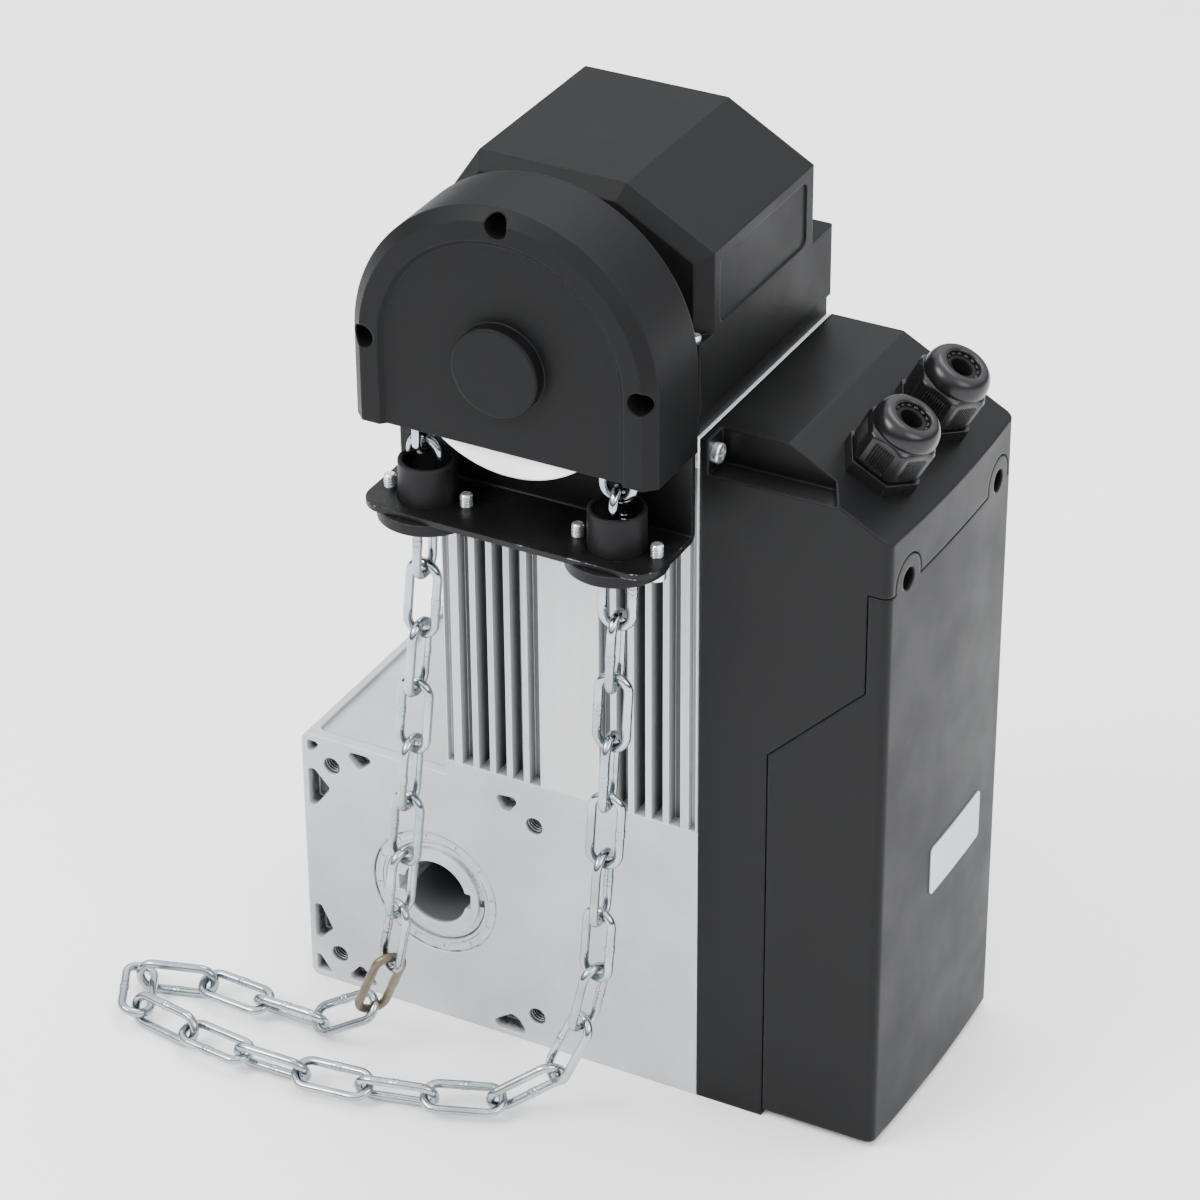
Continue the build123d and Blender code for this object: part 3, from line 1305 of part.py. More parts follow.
with BuildPart() as bracket_screws:
    for spot_x, spot_z in plate_screw_spots:
        seat = Plane(origin=(spot_x, plate_front, spot_z), x_dir=(1, 0, 0), z_dir=(0, -1, 0))
        add(screw(seat, m4, sheet_t + 7.0))
    for spot_x, spot_z in foot_screw_spots:
        seat = Plane(origin=(spot_x, block_front + m5[2] + 0.5, spot_z), x_dir=(1, 0, 0),
                     z_dir=(0, -1, 0))
        add(screw(seat, m5, clutch_block_t - m5[2] + 7.0))
bracket_screws.part.label = "bracket_screws"
export_step(bracket_screws.part, "parts/bracket_screws.step")


def chain_guide(spot_x):
    """Flanged tube that the chain runs through, with a flared mouth at each end."""
    low = shelf_bottom - guide_flange_t
    high = shelf_top + guide_rise
    spot = (spot_x, chain_plane, low)
    with BuildPart(Plane(origin=spot, z_dir=(0, 0, 1))) as made:
        Cylinder(guide_flange_d / 2, guide_flange_t,
                 align=(Align.CENTER, Align.CENTER, Align.MIN))
        Cylinder(guide_tube_d / 2, high - low, align=(Align.CENTER, Align.CENTER, Align.MIN))
        Cylinder(guide_bore_d / 2, high - low, align=(Align.CENTER, Align.CENTER, Align.MIN),
                 mode=Mode.SUBTRACT)
        rims = made.edges().filter_by(GeomType.CIRCLE)
        fillet(rims.group_by(Axis.Z)[-1], 0.5)
        fillet(rims.group_by(Axis.Z)[0].sort_by(SortBy.RADIUS)[0], 1.5)
        with Locations((-guide_screw_offset, 0, guide_flange_t),
                       (guide_screw_offset, 0, guide_flange_t)):
            Hole(m4[0] / 2 + slide_gap, depth=guide_flange_t)
    return made.part


with BuildPart() as left_chain_guide:
    add(chain_guide(guide_spots[0]))
left_chain_guide.part.label = "left_chain_guide"
export_step(left_chain_guide.part, "parts/left_chain_guide.step")

with BuildPart() as right_chain_guide:
    add(chain_guide(guide_spots[1]))
right_chain_guide.part.label = "right_chain_guide"
export_step(right_chain_guide.part, "parts/right_chain_guide.step")

guide_screw_size = (m4[0], m4[1] - 1.0, m4[2])
with BuildPart() as guide_screws:
    for spot_x in guide_spots:
        for side in (-1, 1):
            seat = Plane(origin=(spot_x + side * guide_screw_offset, chain_plane,
                                 shelf_bottom - guide_flange_t), z_dir=(0, 0, -1))
            add(screw(seat, guide_screw_size, guide_flange_t + sheet_t + guide_screw_proud,
                      socket=False))
guide_screws.part.label = "guide_screws"
export_step(guide_screws.part, "parts/guide_screws.step")


# Chain cover
def arch(radius, low):
    """Closed outline of an arch: half a circle over straight sides down to a level."""
    with BuildSketch(mode=Mode.PRIVATE) as made:
        with BuildLine():
            ThreePointArc((radius, 0), (0, radius), (-radius, 0))
            Polyline((-radius, 0), (-radius, low), (radius, low), (radius, 0))
        make_face()
    return made.sketch


cover_r = cover_d / 2
with BuildPart() as chain_cover:
    with BuildSketch(on_hand_axis(cover_front + cover_chamfer)):
        add(arch(cover_r, -cover_drop))
    extrude(amount=-(cover_back - cover_front - cover_chamfer))
    with BuildSketch(on_hand_axis(cover_front + cover_chamfer)):
        add(arch(cover_r, -cover_drop))
    with BuildSketch(on_hand_axis(cover_front)):
        add(arch(cover_r - cover_chamfer, -cover_drop))
    loft()
    # Sunk front panel with its sloping edge
    with BuildSketch(on_hand_axis(cover_front)):
        add(arch(panel_d / 2, -cover_drop - 1.0))
    with BuildSketch(on_hand_axis(cover_front + panel_recess)):
        add(arch(panel_d / 2 - panel_recess, -cover_drop - 1.0))
    loft(mode=Mode.SUBTRACT)
    with BuildSketch(on_hand_axis(cover_front + panel_recess)):
        Circle(cover_boss_d / 2)
    extrude(amount=cover_boss_proud)
    fillet(chain_cover.edges().filter_by(GeomType.CIRCLE).group_by(Axis.Y)[0], 0.8)
    # Hollow inside
    with BuildSketch(on_hand_axis(cover_front + panel_recess + cover_wall)):
        add(arch(cover_r - cover_chamfer - cover_wall + 0.6, -cover_drop - 1.0))
    with BuildSketch(on_hand_axis(cover_front + cover_chamfer + cover_wall)):
        add(arch(cover_r - cover_wall, -cover_drop - 1.0))
    loft(mode=Mode.SUBTRACT)
    with BuildSketch(on_hand_axis(cover_front + cover_chamfer + cover_wall)):
        add(arch(cover_r - cover_wall, -cover_drop - 1.0))
    extrude(amount=-(cover_back - cover_front), mode=Mode.SUBTRACT)
    with BuildSketch(on_hand_axis(cover_front + panel_recess + cover_wall)):
        Circle(cover_boss_d / 2 - cover_wall)
    extrude(amount=cover_boss_proud, mode=Mode.SUBTRACT)
    # Screw posts with deep recesses
    with BuildSketch(fronts(cover_front + cover_chamfer)):
        with Locations(*cover_screw_spots):
            Circle(cover_post_d / 2)
    extrude(amount=-(plate_front - cover_front - cover_chamfer))
    with BuildSketch(fronts(cover_front - 1.0)):
        with Locations(*cover_screw_spots):
            Circle(cover_screw_hole_d / 2)
    extrude(amount=-(cover_screw_recess + 1.0), mode=Mode.SUBTRACT)
    with BuildSketch(fronts(cover_front)):
        with Locations(*cover_screw_spots):
            Circle(m4[0] / 2 + slide_gap)
    extrude(amount=-(plate_front - cover_front), mode=Mode.SUBTRACT)
chain_cover.part.label = "chain_cover"
export_step(chain_cover.part, "parts/chain_cover.step")

with BuildPart() as chain_cover_screws:
    for spot_x, spot_z in cover_screw_spots:
        seat = Plane(origin=(spot_x, cover_front + cover_screw_recess, spot_z), x_dir=(1, 0, 0),
                     z_dir=(0, -1, 0))
        add(screw(seat, m4, plate_back - cover_front - cover_screw_recess + 2.0))
chain_cover_screws.part.label = "chain_cover_screws"
export_step(chain_cover_screws.part, "parts/chain_cover_screws.step")

# Motor hood
hood_top_z = shield_top + hood_top
skirt_top_z = shield_top + hood_skirt_top
base_top_z = shield_top + hood_base_h


def hood_profile(inset):
    """Outline of the hood's upper body seen from the front, moved inwards by an inset."""
    slope_left = atan2(hood_left_fall, hood_flat_left)
    slope_right = atan2(hood_right_fall, motor_width - hood_flat_right)
    top = hood_top_z - inset
    left = motor_left + inset
    right = motor_right - inset
    pull_left = inset * tan(slope_left / 2)
    pull_right = inset * tan(slope_right / 2)
    flat_left = motor_left + hood_flat_left + pull_left
    flat_right = motor_left + hood_flat_right - pull_right
    left_z = top - (flat_left - left) * tan(slope_left)
    right_z = top - (right - flat_right) * tan(slope_right)
    return [(left, base_top_z + 2.0), (left, left_z), (flat_left, top), (flat_right, top),
            (right, right_z), (right, base_top_z + 2.0)]


with BuildPart() as motor_hood:
    with BuildSketch(fronts(hood_front + hood_bevel)):
        with BuildLine():
            Polyline(*hood_profile(0), close=True)
        make_face()
    extrude(amount=-(hood_back - hood_front - hood_bevel))
    with BuildSketch(fronts(hood_front + hood_bevel)):
        with BuildLine():
            Polyline(*hood_profile(0), close=True)
        make_face()
    with BuildSketch(fronts(hood_front)):
        with BuildLine():
            Polyline(*hood_profile(hood_bevel), close=True)
        make_face()
    loft(ruled=True)
    with BuildSketch(Plane.XY.offset(base_top_z)) as skirt_plan:
        with Locations((motor_x, motor_y)):
            Rectangle(motor_width, case_depth)
        fillet(skirt_plan.vertices(), motor_corner_r)
    extrude(amount=skirt_top_z - base_top_z)
    with BuildSketch(Plane.XY.offset(shield_top)):
        with Locations((motor_x, motor_y)):
            Rectangle(motor_width - 2 * hood_base_inset, case_depth - 2 * hood_base_inset)
    extrude(amount=hood_base_h)
    # Hollow inside
    with BuildSketch(fronts(hood_front + hood_bevel)):
        with BuildLine():
            Polyline(*hood_profile(hood_wall), close=True)
        make_face()
    extrude(amount=-(hood_back - hood_front - hood_bevel - hood_wall), mode=Mode.SUBTRACT)
    with BuildSketch(fronts(hood_front + hood_bevel)):
        with BuildLine():
            Polyline(*hood_profile(hood_wall), close=True)
        make_face()
    with BuildSketch(fronts(hood_front + hood_wall)):
        with BuildLine():
            Polyline(*hood_profile(hood_bevel + hood_wall * 0.4), close=True)
        make_face()
    loft(ruled=True, mode=Mode.SUBTRACT)
    inner_w = motor_width - 2 * (hood_base_inset + hood_wall)
    inner_d = case_depth - 2 * (hood_base_inset + hood_wall)
    with BuildSketch(Plane.XY.offset(shield_top)):
        with Locations((motor_x, motor_y)):
            Rectangle(inner_w, inner_d)
    extrude(amount=hood_skirt_top - hood_wall, mode=Mode.SUBTRACT)
    # Screw columns from the ledges down to the shield
    with BuildSketch(Plane.XY.offset(base_top_z)):
        with Locations(*hood_back_screws):
            Circle(m3[0] / 2 + 2.0)
    extrude(amount=skirt_top_z - base_top_z - hood_wall)
    with BuildSketch(Plane.XY.offset(skirt_top_z)):
        with Locations(*(hood_front_screws + hood_back_screws)):
            Circle(m3[0] / 2 + slide_gap)
    extrude(amount=-hood_skirt_top, mode=Mode.SUBTRACT)
    # Hole for the bearing tube
    with BuildSketch(on_hand_axis(motor_front - 1.0)):
        Circle(bush_outer_r + tube_wall + part_gap)
    extrude(amount=-(hood_front + hood_bevel + hood_wall), mode=Mode.SUBTRACT)
    # Sunk panels on both sides
    for face_x, way in ((motor_right, -1), (motor_left, 1)):
        with BuildSketch(rights(face_x)) as side_panel:
            with Locations(((hood_front + hood_back) / 2 + 2.0, skirt_top_z + 13.0)):
                Rectangle(hood_back - hood_front - 14.0, 23.0)
            fillet(side_panel.vertices(), 3.0)
        extrude(amount=way * hood_panel_depth, mode=Mode.SUBTRACT)
motor_hood.part.label = "motor_hood"
export_step(motor_hood.part, "parts/motor_hood.step")

with BuildPart() as hood_screws:
    for spot_x, spot_y in hood_front_screws + hood_back_screws:
        add(screw(Plane(origin=(spot_x, spot_y, skirt_top_z), z_dir=(0, 0, 1)), m3,
                  hood_skirt_top + 3.0, socket=False))
hood_screws.part.label = "hood_screws"
export_step(hood_screws.part, "parts/hood_screws.step")


# Control box
def box_solid(inset, bottom):
    """The box's outside, moved inwards by an inset, standing on a level."""
    slope = radians(slope_angle)
    left, right = box_left + inset, box_right - inset
    top = shield_top - inset
    ridge = box_ridge_x - inset * tan(slope / 2)
    shoulder = top - (right - ridge) * tan(slope)
    near, far = inset, case_depth - inset
    with BuildPart(mode=Mode.PRIVATE) as made:
        with BuildSketch(fronts(0)):
            with BuildLine():
                Polyline((left, bottom), (right, bottom), (right, shoulder), (ridge, top),
                         (left, top), close=True)
            make_face()
        extrude(amount=-case_depth)
        with BuildSketch(Plane.XY.offset(bottom)) as plan:
            with BuildLine():
                edge_x = right - box_crown
                Polyline((edge_x, far), (left, far), (left, near), (edge_x, near))
                ThreePointArc((edge_x, near), (right, case_depth / 2), (edge_x, far))
            make_face()
            corners = plan.vertices().group_by(Axis.X)[-1]
            fillet(corners, max(box_corner_r - inset, 0.5))
        extrude(amount=top - bottom, mode=Mode.INTERSECT)
    return made.part


def lid_side(shift):
    """Everything on the lid's side of the seam, with the seam moved by a shift."""
    with BuildPart(mode=Mode.PRIVATE) as made:
        with BuildSketch(fronts(-5)):
            with BuildLine():
                Polyline((box_right + 9, seam_top - shift), (seam_edge_x + shift, seam_top - shift),
                         (seam_edge_x + shift, seam_knee_z), (seam_low_x + shift, seam_low_z),
                         (seam_low_x + shift, -case_reach - 9), (box_right + 9, -case_reach - 9),
                         close=True)
            make_face()
        extrude(amount=-(case_depth + 10))
    return made.part


def lid_ears(diameter):
    """Round ears on the right face that carry the lid's upper screws."""
    with BuildPart(mode=Mode.PRIVATE) as made:
        with BuildSketch(rights(box_right - box_wall - box_crown)):
            with Locations(*ear_spots):
                Circle(diameter / 2)
        extrude(amount=box_wall + 2 * box_crown)
    return made.part


ear_spots = [(ear_inset, ear_z), (case_depth - ear_inset, ear_z)]
gland_ys = [case_depth / 2 - gland_spacing / 2, case_depth / 2 + gland_spacing / 2]
slope_rad = radians(slope_angle)
gland_x = (box_ridge_x + box_right) / 2 + 1.5
gland_z = shield_top - (gland_x - box_ridge_x) * tan(slope_rad)
tongue_ys = [9.0, case_depth - 9.0]
tongue_x = 164.3
tongue_w = 10.0
tongue_t = 4.0
lid_bottom = -case_reach + lid_lift
tongue_z = lid_bottom + box_wall + 0.2
board_spots = [(18.0, -28.0), (79.0, -28.0), (18.0, 143.0), (79.0, 143.0)]


def gland_plane(spot_y):
    return Plane(origin=(gland_x, spot_y, gland_z), x_dir=(cos(slope_rad), 0, -sin(slope_rad)),
                 z_dir=(sin(slope_rad), 0, cos(slope_rad)))


with BuildPart() as control_box_base:
    add(box_solid(0, -case_reach))
    add(box_solid(box_wall, -case_reach + box_wall), mode=Mode.SUBTRACT)
    add(lid_side(0), mode=Mode.SUBTRACT)
    add(lid_ears(ear_d + 2 * seam_gap), mode=Mode.SUBTRACT)
    # Step in the front top edge, with the ear for the fixing screw
    with BuildSketch(Plane.XY.offset(shield_top + 1.0)) as scoop:
        with BuildLine():
            Polyline((box_left + box_wall, scoop_depth), (box_left + box_wall, -1.0),
                     (scoop_end_x, -1.0), (scoop_end_x - 6.0, scoop_depth), close=True)
        make_face()
    extrude(amount=-(scoop_height + 1.0), mode=Mode.SUBTRACT)
    with BuildSketch(Plane.XY.offset(shield_top - box_wall)):
        with BuildLine():
            Polyline((box_left, scoop_depth), (scoop_end_x - 6.0, scoop_depth),
                     (scoop_end_x - 2.0, box_wall), (scoop_end_x - 2.0, box_wall + scoop_depth),
                     (box_left, box_wall + scoop_depth), close=True)
        make_face()
    extrude(amount=-(scoop_height - box_wall))
    with BuildSketch(Plane.XY.offset(shield_top - scoop_height)):
        with BuildLine():
            Polyline((box_left, 0), (scoop_end_x, 0), (scoop_end_x - 5.0, box_wall + scoop_depth),
                     (box_left, box_wall + scoop_depth), close=True)
        make_face()
    extrude(amount=-box_wall)
    add(box_solid(0, -case_reach), mode=Mode.INTERSECT)
    # Posts for the lid's upper screws and tongues for its lower ones
    with BuildSketch(rights(box_left)):
        with Locations(*ear_spots):
            Circle(post_d / 2)
    extrude(amount=post_end_x - box_left)
    with BuildSketch(rights(post_end_x)):
        with Locations(*ear_spots):
            Circle(m4[0] / 2 + thread_gap)
    extrude(amount=-12.0, mode=Mode.SUBTRACT)
    with BuildSketch(Plane.XY.offset(tongue_z)):
        for spot_y in tongue_ys:
            with Locations(((seam_low_x - 12.0 + tongue_x + 3.5) / 2, spot_y)):
                Rectangle(tongue_x + 3.5 - seam_low_x + 12.0, tongue_w)
    extrude(amount=tongue_t)
    with BuildSketch(Plane.XY.offset(-case_reach + box_wall)):
        for spot_y in tongue_ys:
            with Locations((seam_low_x - 7.0, spot_y)):
                Rectangle(10.0, tongue_w)
    extrude(amount=tongue_z + tongue_t + case_reach - box_wall)
    with BuildSketch(Plane.XY.offset(tongue_z)):
        with Locations(*[(tongue_x, spot_y) for spot_y in tongue_ys]):
            Circle(m4[0] / 2 + thread_gap)
    extrude(amount=tongue_t, mode=Mode.SUBTRACT)
    # Board stand-offs
    with BuildSketch(rights(box_left + box_wall)):
        with Locations(*board_spots):
            Circle(3.5)
    extrude(amount=board_stand)
    # Holes for the fixing screws and the glands
    with BuildSketch(rights(box_left)):
        with Locations(*(box_screw_spots + [(ear_screw_y, ear_screw_z)])):
            Circle(m4[0] / 2 + slide_gap)
    extrude(amount=box_wall, mode=Mode.SUBTRACT)
    for spot_y in gland_ys:
        with BuildSketch(gland_plane(spot_y).offset(2.0)):
            Circle(gland_thread_d / 2 + slide_gap)
        extrude(amount=-box_wall - 4.0, mode=Mode.SUBTRACT)
control_box_base.part.label = "control_box_base"
export_step(control_box_base.part, "parts/control_box_base.step")

with BuildPart() as control_box_cover:
    add(box_solid(0, lid_bottom))
    add(box_solid(box_wall, lid_bottom + box_wall), mode=Mode.SUBTRACT)
    add(lid_side(seam_gap), mode=Mode.INTERSECT)
    with BuildPart(mode=Mode.PRIVATE) as ear_wall:
        add(box_solid(0, lid_bottom))
        add(box_solid(box_wall, lid_bottom + box_wall), mode=Mode.SUBTRACT)
        add(lid_ears(ear_d), mode=Mode.INTERSECT)
    add(ear_wall.part)
    with BuildSketch(rights(post_end_x + 0.3)):
        with Locations(*ear_spots):
            Circle(ear_hole_d / 2 + 2.0)
    extrude(amount=box_right - box_crown - 1.0 - post_end_x)
    with BuildSketch(rights(box_right + 1.0)):
        with Locations(*ear_spots):
            Circle(ear_hole_d / 2)
    extrude(amount=-(box_right + 1.0 - post_end_x - 3.5), mode=Mode.SUBTRACT)
    with BuildSketch(rights(box_right + 1.0)):
        with Locations(*ear_spots):
            Circle(m4[0] / 2 + slide_gap)
    extrude(amount=-(box_right + 1.0 - post_end_x), mode=Mode.SUBTRACT)
    with BuildSketch(Plane.XY.offset(lid_bottom)):
        with Locations(*[(tongue_x, spot_y) for spot_y in tongue_ys]):
            Circle(m4[0] / 2 + slide_gap)
    extrude(amount=box_wall, mode=Mode.SUBTRACT)
control_box_cover.part.label = "control_box_cover"
export_step(control_box_cover.part, "parts/control_box_cover.step")

with BuildPart() as cover_gasket:
    add(box_solid(1.0, lid_bottom + 1.0))
    add(box_solid(box_wall - 0.4, lid_bottom + box_wall), mode=Mode.SUBTRACT)
    add(lid_side(0.02), mode=Mode.INTERSECT)
    add(lid_side(seam_gap - 0.02), mode=Mode.SUBTRACT)
    add(lid_ears(ear_d + 2 * seam_gap + 0.4), mode=Mode.SUBTRACT)
cover_gasket.part.label = "cover_gasket"
export_step(cover_gasket.part, "parts/cover_gasket.step")

with BuildPart() as box_cover_screws:
    for spot_y, spot_z in ear_spots:
        seat = Plane(origin=(post_end_x + 3.5, spot_y, spot_z), x_dir=(0, 1, 0), z_dir=(1, 0, 0))
        add(screw(seat, m4, 14.0))
    for spot_y in tongue_ys:
        seat = Plane(origin=(tongue_x, spot_y, lid_bottom), x_dir=(1, 0, 0), z_dir=(0, 0, -1))
        add(screw(seat, m4, box_wall + tongue_t, socket=False))
box_cover_screws.part.label = "box_cover_screws"
export_step(box_cover_screws.part, "parts/box_cover_screws.step")

with BuildPart() as box_mount_screws:
    for spot_y, spot_z in box_screw_spots:
        seat = Plane(origin=(box_left + box_wall, spot_y, spot_z), x_dir=(0, 1, 0), z_dir=(1, 0, 0))
        add(screw(seat, m4, box_wall + box_gap + case_wall, socket=False))
    seat = Plane(origin=(box_left + box_wall, ear_screw_y, ear_screw_z), x_dir=(0, 1, 0),
                 z_dir=(1, 0, 0))
    add(screw(seat, m4, box_wall + box_gap + 8.0, socket=False))
box_mount_screws.part.label = "box_mount_screws"
export_step(box_mount_screws.part, "parts/box_mount_screws.step")

# Cable glands
with BuildPart() as cable_gland_bodies:
    for spot_y in gland_ys:
        seat = gland_plane(spot_y)
        with BuildSketch(seat):
            RegularPolygon(gland_hex / 2, 6, major_radius=False)
        extrude(amount=gland_hex_h)
        with BuildSketch(seat):
            Circle(gland_thread_d / 2)
        extrude(amount=-gland_tail)
        with BuildSketch(seat.offset(gland_hex_h)):
            Circle(gland_thread_d / 2 - 1.0)
        extrude(amount=gland_cap_h - 4.0)
        with BuildSketch(seat.offset(gland_hex_h + gland_cap_h)):
            Circle(gland_bore_d / 2)
        extrude(amount=-(gland_hex_h + gland_cap_h + gland_tail), mode=Mode.SUBTRACT)
    for spot_y in gland_ys:
        with BuildSketch(gland_plane(spot_y).offset(-box_wall - 0.1)):
            RegularPolygon(gland_hex / 2, 6, major_radius=False)
            Circle(gland_thread_d / 2 + thread_gap, mode=Mode.SUBTRACT)
        extrude(amount=-gland_nut_t)
cable_gland_bodies.part.label = "cable_gland_bodies"
export_step(cable_gland_bodies.part, "parts/cable_gland_bodies.step")

with BuildPart() as cable_gland_caps:
    for spot_y in gland_ys:
        seat = gland_plane(spot_y).offset(gland_hex_h + 0.3)
        with BuildSketch(seat):
            RegularPolygon(gland_cap_d / 2, 6, major_radius=False)
        extrude(amount=gland_cap_h)
        with BuildSketch(seat.offset(gland_cap_h)):
            Circle(gland_cap_d / 2)
        with BuildSketch(seat.offset(gland_cap_h + gland_dome_h)):
            Circle(gland_cap_d / 2 - 4.5)
        loft()
        with BuildSketch(seat):
            Circle(gland_thread_d / 2 - 1.0 + thread_gap)
        extrude(amount=gland_cap_h - 3.0, mode=Mode.SUBTRACT)
        with BuildSketch(seat):
            Circle(gland_mouth_d / 2)
        extrude(amount=gland_cap_h + gland_dome_h, mode=Mode.SUBTRACT)
cable_gland_caps.part.label = "cable_gland_caps"
export_step(cable_gland_caps.part, "parts/cable_gland_caps.step")

with BuildPart() as cable_gland_seals:
    for spot_y in gland_ys:
        seat = gland_plane(spot_y).offset(gland_hex_h + gland_cap_h - 3.0)
        with BuildSketch(seat):
            Circle(gland_mouth_d / 2 - thread_gap)
            Circle(gland_seal_bore_d / 2, mode=Mode.SUBTRACT)
        extrude(amount=gland_dome_h + 1.5)
cable_gland_seals.part.label = "cable_gland_seals"
export_step(cable_gland_seals.part, "parts/cable_gland_seals.step")

# Circuit board and what stands on it
board_x = box_left + box_wall + board_stand
with BuildPart() as circuit_board:
    with BuildSketch(rights(board_x)) as board_plan:
        with Locations((case_depth / 2, 57.5)):
            Rectangle(72.0, 182.0)
        fillet(board_plan.vertices(), 3.0)
        with Locations(*board_spots):
            Circle(1.6, mode=Mode.SUBTRACT)
    extrude(amount=board_t)
circuit_board.part.label = "circuit_board"
export_step(circuit_board.part, "parts/circuit_board.step")

board_face = board_x + board_t
with BuildPart() as relays:
    for spot_z in (115.0, 72.0):
        with BuildSketch(rights(board_face)):
            with Locations((34.0, spot_z)):
                Rectangle(30.0, 34.0)
        extrude(amount=26.0)
    with BuildSketch(rights(board_face)):
        with Locations((68.0, 93.0)):
            Rectangle(22.0, 50.0)
    extrude(amount=22.0)
    fillet(relays.edges().group_by(Axis.X)[-1], 1.2)
relays.part.label = "relays"
export_step(relays.part, "parts/relays.step")

with BuildPart() as terminal_block:
    with BuildSketch(rights(board_face)):
        with Locations((case_depth / 2, -8.0)):
            Rectangle(60.0, 14.0)
    extrude(amount=15.0)
    with BuildSketch(rights(board_face + 15.0)):
        with Locations((case_depth / 2, -5.0)):
            with GridLocations(6.0, 1.0, 9, 1):
                Circle(1.9)
    extrude(amount=-9.0, mode=Mode.SUBTRACT)
    with BuildSketch(Plane.XY.offset(-15.0)):
        with Locations((board_face + 7.0, case_depth / 2)):
            with GridLocations(1.0, 6.0, 1, 9):
                Rectangle(6.0, 4.0)
    extrude(amount=8.0, mode=Mode.SUBTRACT)
terminal_block.part.label = "terminal_block"
export_step(terminal_block.part, "parts/terminal_block.step")

# Blank rating plate on the curved side of the box
with BuildPart() as rating_plate:
    with BuildPart(mode=Mode.PRIVATE) as outer_skin:
        add(box_solid(-0.5, -case_reach))
    add(outer_skin.part)
    add(box_solid(0, -case_reach), mode=Mode.SUBTRACT)
    with BuildPart(mode=Mode.PRIVATE) as window:
        with BuildSketch(rights(box_right - 6.0)) as plate_shape:
            with Locations((58.3, 40.8)):
                Rectangle(41.5, 19.0)
            fillet(plate_shape.vertices(), 2.0)
        extrude(amount=12.0)
    add(window.part, mode=Mode.INTERSECT)
rating_plate.part.label = "rating_plate"
export_step(rating_plate.part, "parts/rating_plate.step")

wheel_ratio = 1 / wheel_teeth
print("centre distance", round(centre_distance, 2), "worm wheel ratio", wheel_ratio)
print("chain links", link_count + links_on_wheel, "pitch", round(high_step, 3),
      "last chord", round((chain_nodes[-1] - chain_nodes[-2]).length, 3))
print("hand axis z", hand_z, "gland", round(gland_x, 2), round(gland_z, 2), "slope",
      round(slope_angle, 2))
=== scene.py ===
from math import atan2, cos, pi, radians, sin

import bmesh
import bpy
import numpy as np
from mathutils import Matrix, Vector


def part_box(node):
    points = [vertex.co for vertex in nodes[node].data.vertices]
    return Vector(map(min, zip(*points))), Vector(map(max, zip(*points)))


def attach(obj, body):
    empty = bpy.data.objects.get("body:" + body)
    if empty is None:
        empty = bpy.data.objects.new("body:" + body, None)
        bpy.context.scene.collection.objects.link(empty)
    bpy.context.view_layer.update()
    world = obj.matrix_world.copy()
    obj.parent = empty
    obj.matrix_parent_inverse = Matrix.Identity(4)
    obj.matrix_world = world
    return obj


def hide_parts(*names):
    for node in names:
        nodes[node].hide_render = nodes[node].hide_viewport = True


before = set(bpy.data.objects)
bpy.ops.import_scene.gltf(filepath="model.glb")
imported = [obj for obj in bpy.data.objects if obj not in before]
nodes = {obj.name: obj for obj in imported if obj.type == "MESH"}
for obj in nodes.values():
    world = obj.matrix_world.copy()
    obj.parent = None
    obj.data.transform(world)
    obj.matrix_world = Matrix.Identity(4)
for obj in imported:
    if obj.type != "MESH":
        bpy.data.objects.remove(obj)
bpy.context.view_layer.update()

scene = bpy.context.scene

# Sizes of the part that the finishes and added pieces follow, in metres
case_depth = 0.097
motor_mid_x = 0.055
motor_half_w = 0.0488
motor_seat_z = 0.053
tapped_offset = 0.05750 * sin(radians(45))
tapped_r = 0.0034
seal_r = 0.0250
bore_r = 0.0127
gland_ys = (0.029, 0.068)

# Camera at the photograph's viewing angle
cam_az = radians(28.283)
cam_el = radians(31.328)
cam_roll = radians(-0.416)
cam_spot = Vector((0.65615, -1.09470, 0.89617))
forward = Vector((-sin(cam_az) * cos(cam_el), cos(cam_az) * cos(cam_el), -sin(cam_el)))
level = Vector((cos(cam_az), sin(cam_az), 0))
upward = level.cross(forward)
right = level * cos(cam_roll) + upward * sin(cam_roll)
top = upward * cos(cam_roll) - level * sin(cam_roll)
camera_data = bpy.data.cameras.new("camera")
camera_data.sensor_width = 36
camera_data.lens = 132.08
camera_data.clip_end = 20
camera = bpy.data.objects.new("camera", camera_data)
camera.matrix_world = Matrix((
    (right.x, top.x, -forward.x, cam_spot.x),
    (right.y, top.y, -forward.y, cam_spot.y),
    (right.z, top.z, -forward.z, cam_spot.z),
    (0, 0, 0, 1)))
scene.collection.objects.link(camera)
scene.camera = camera


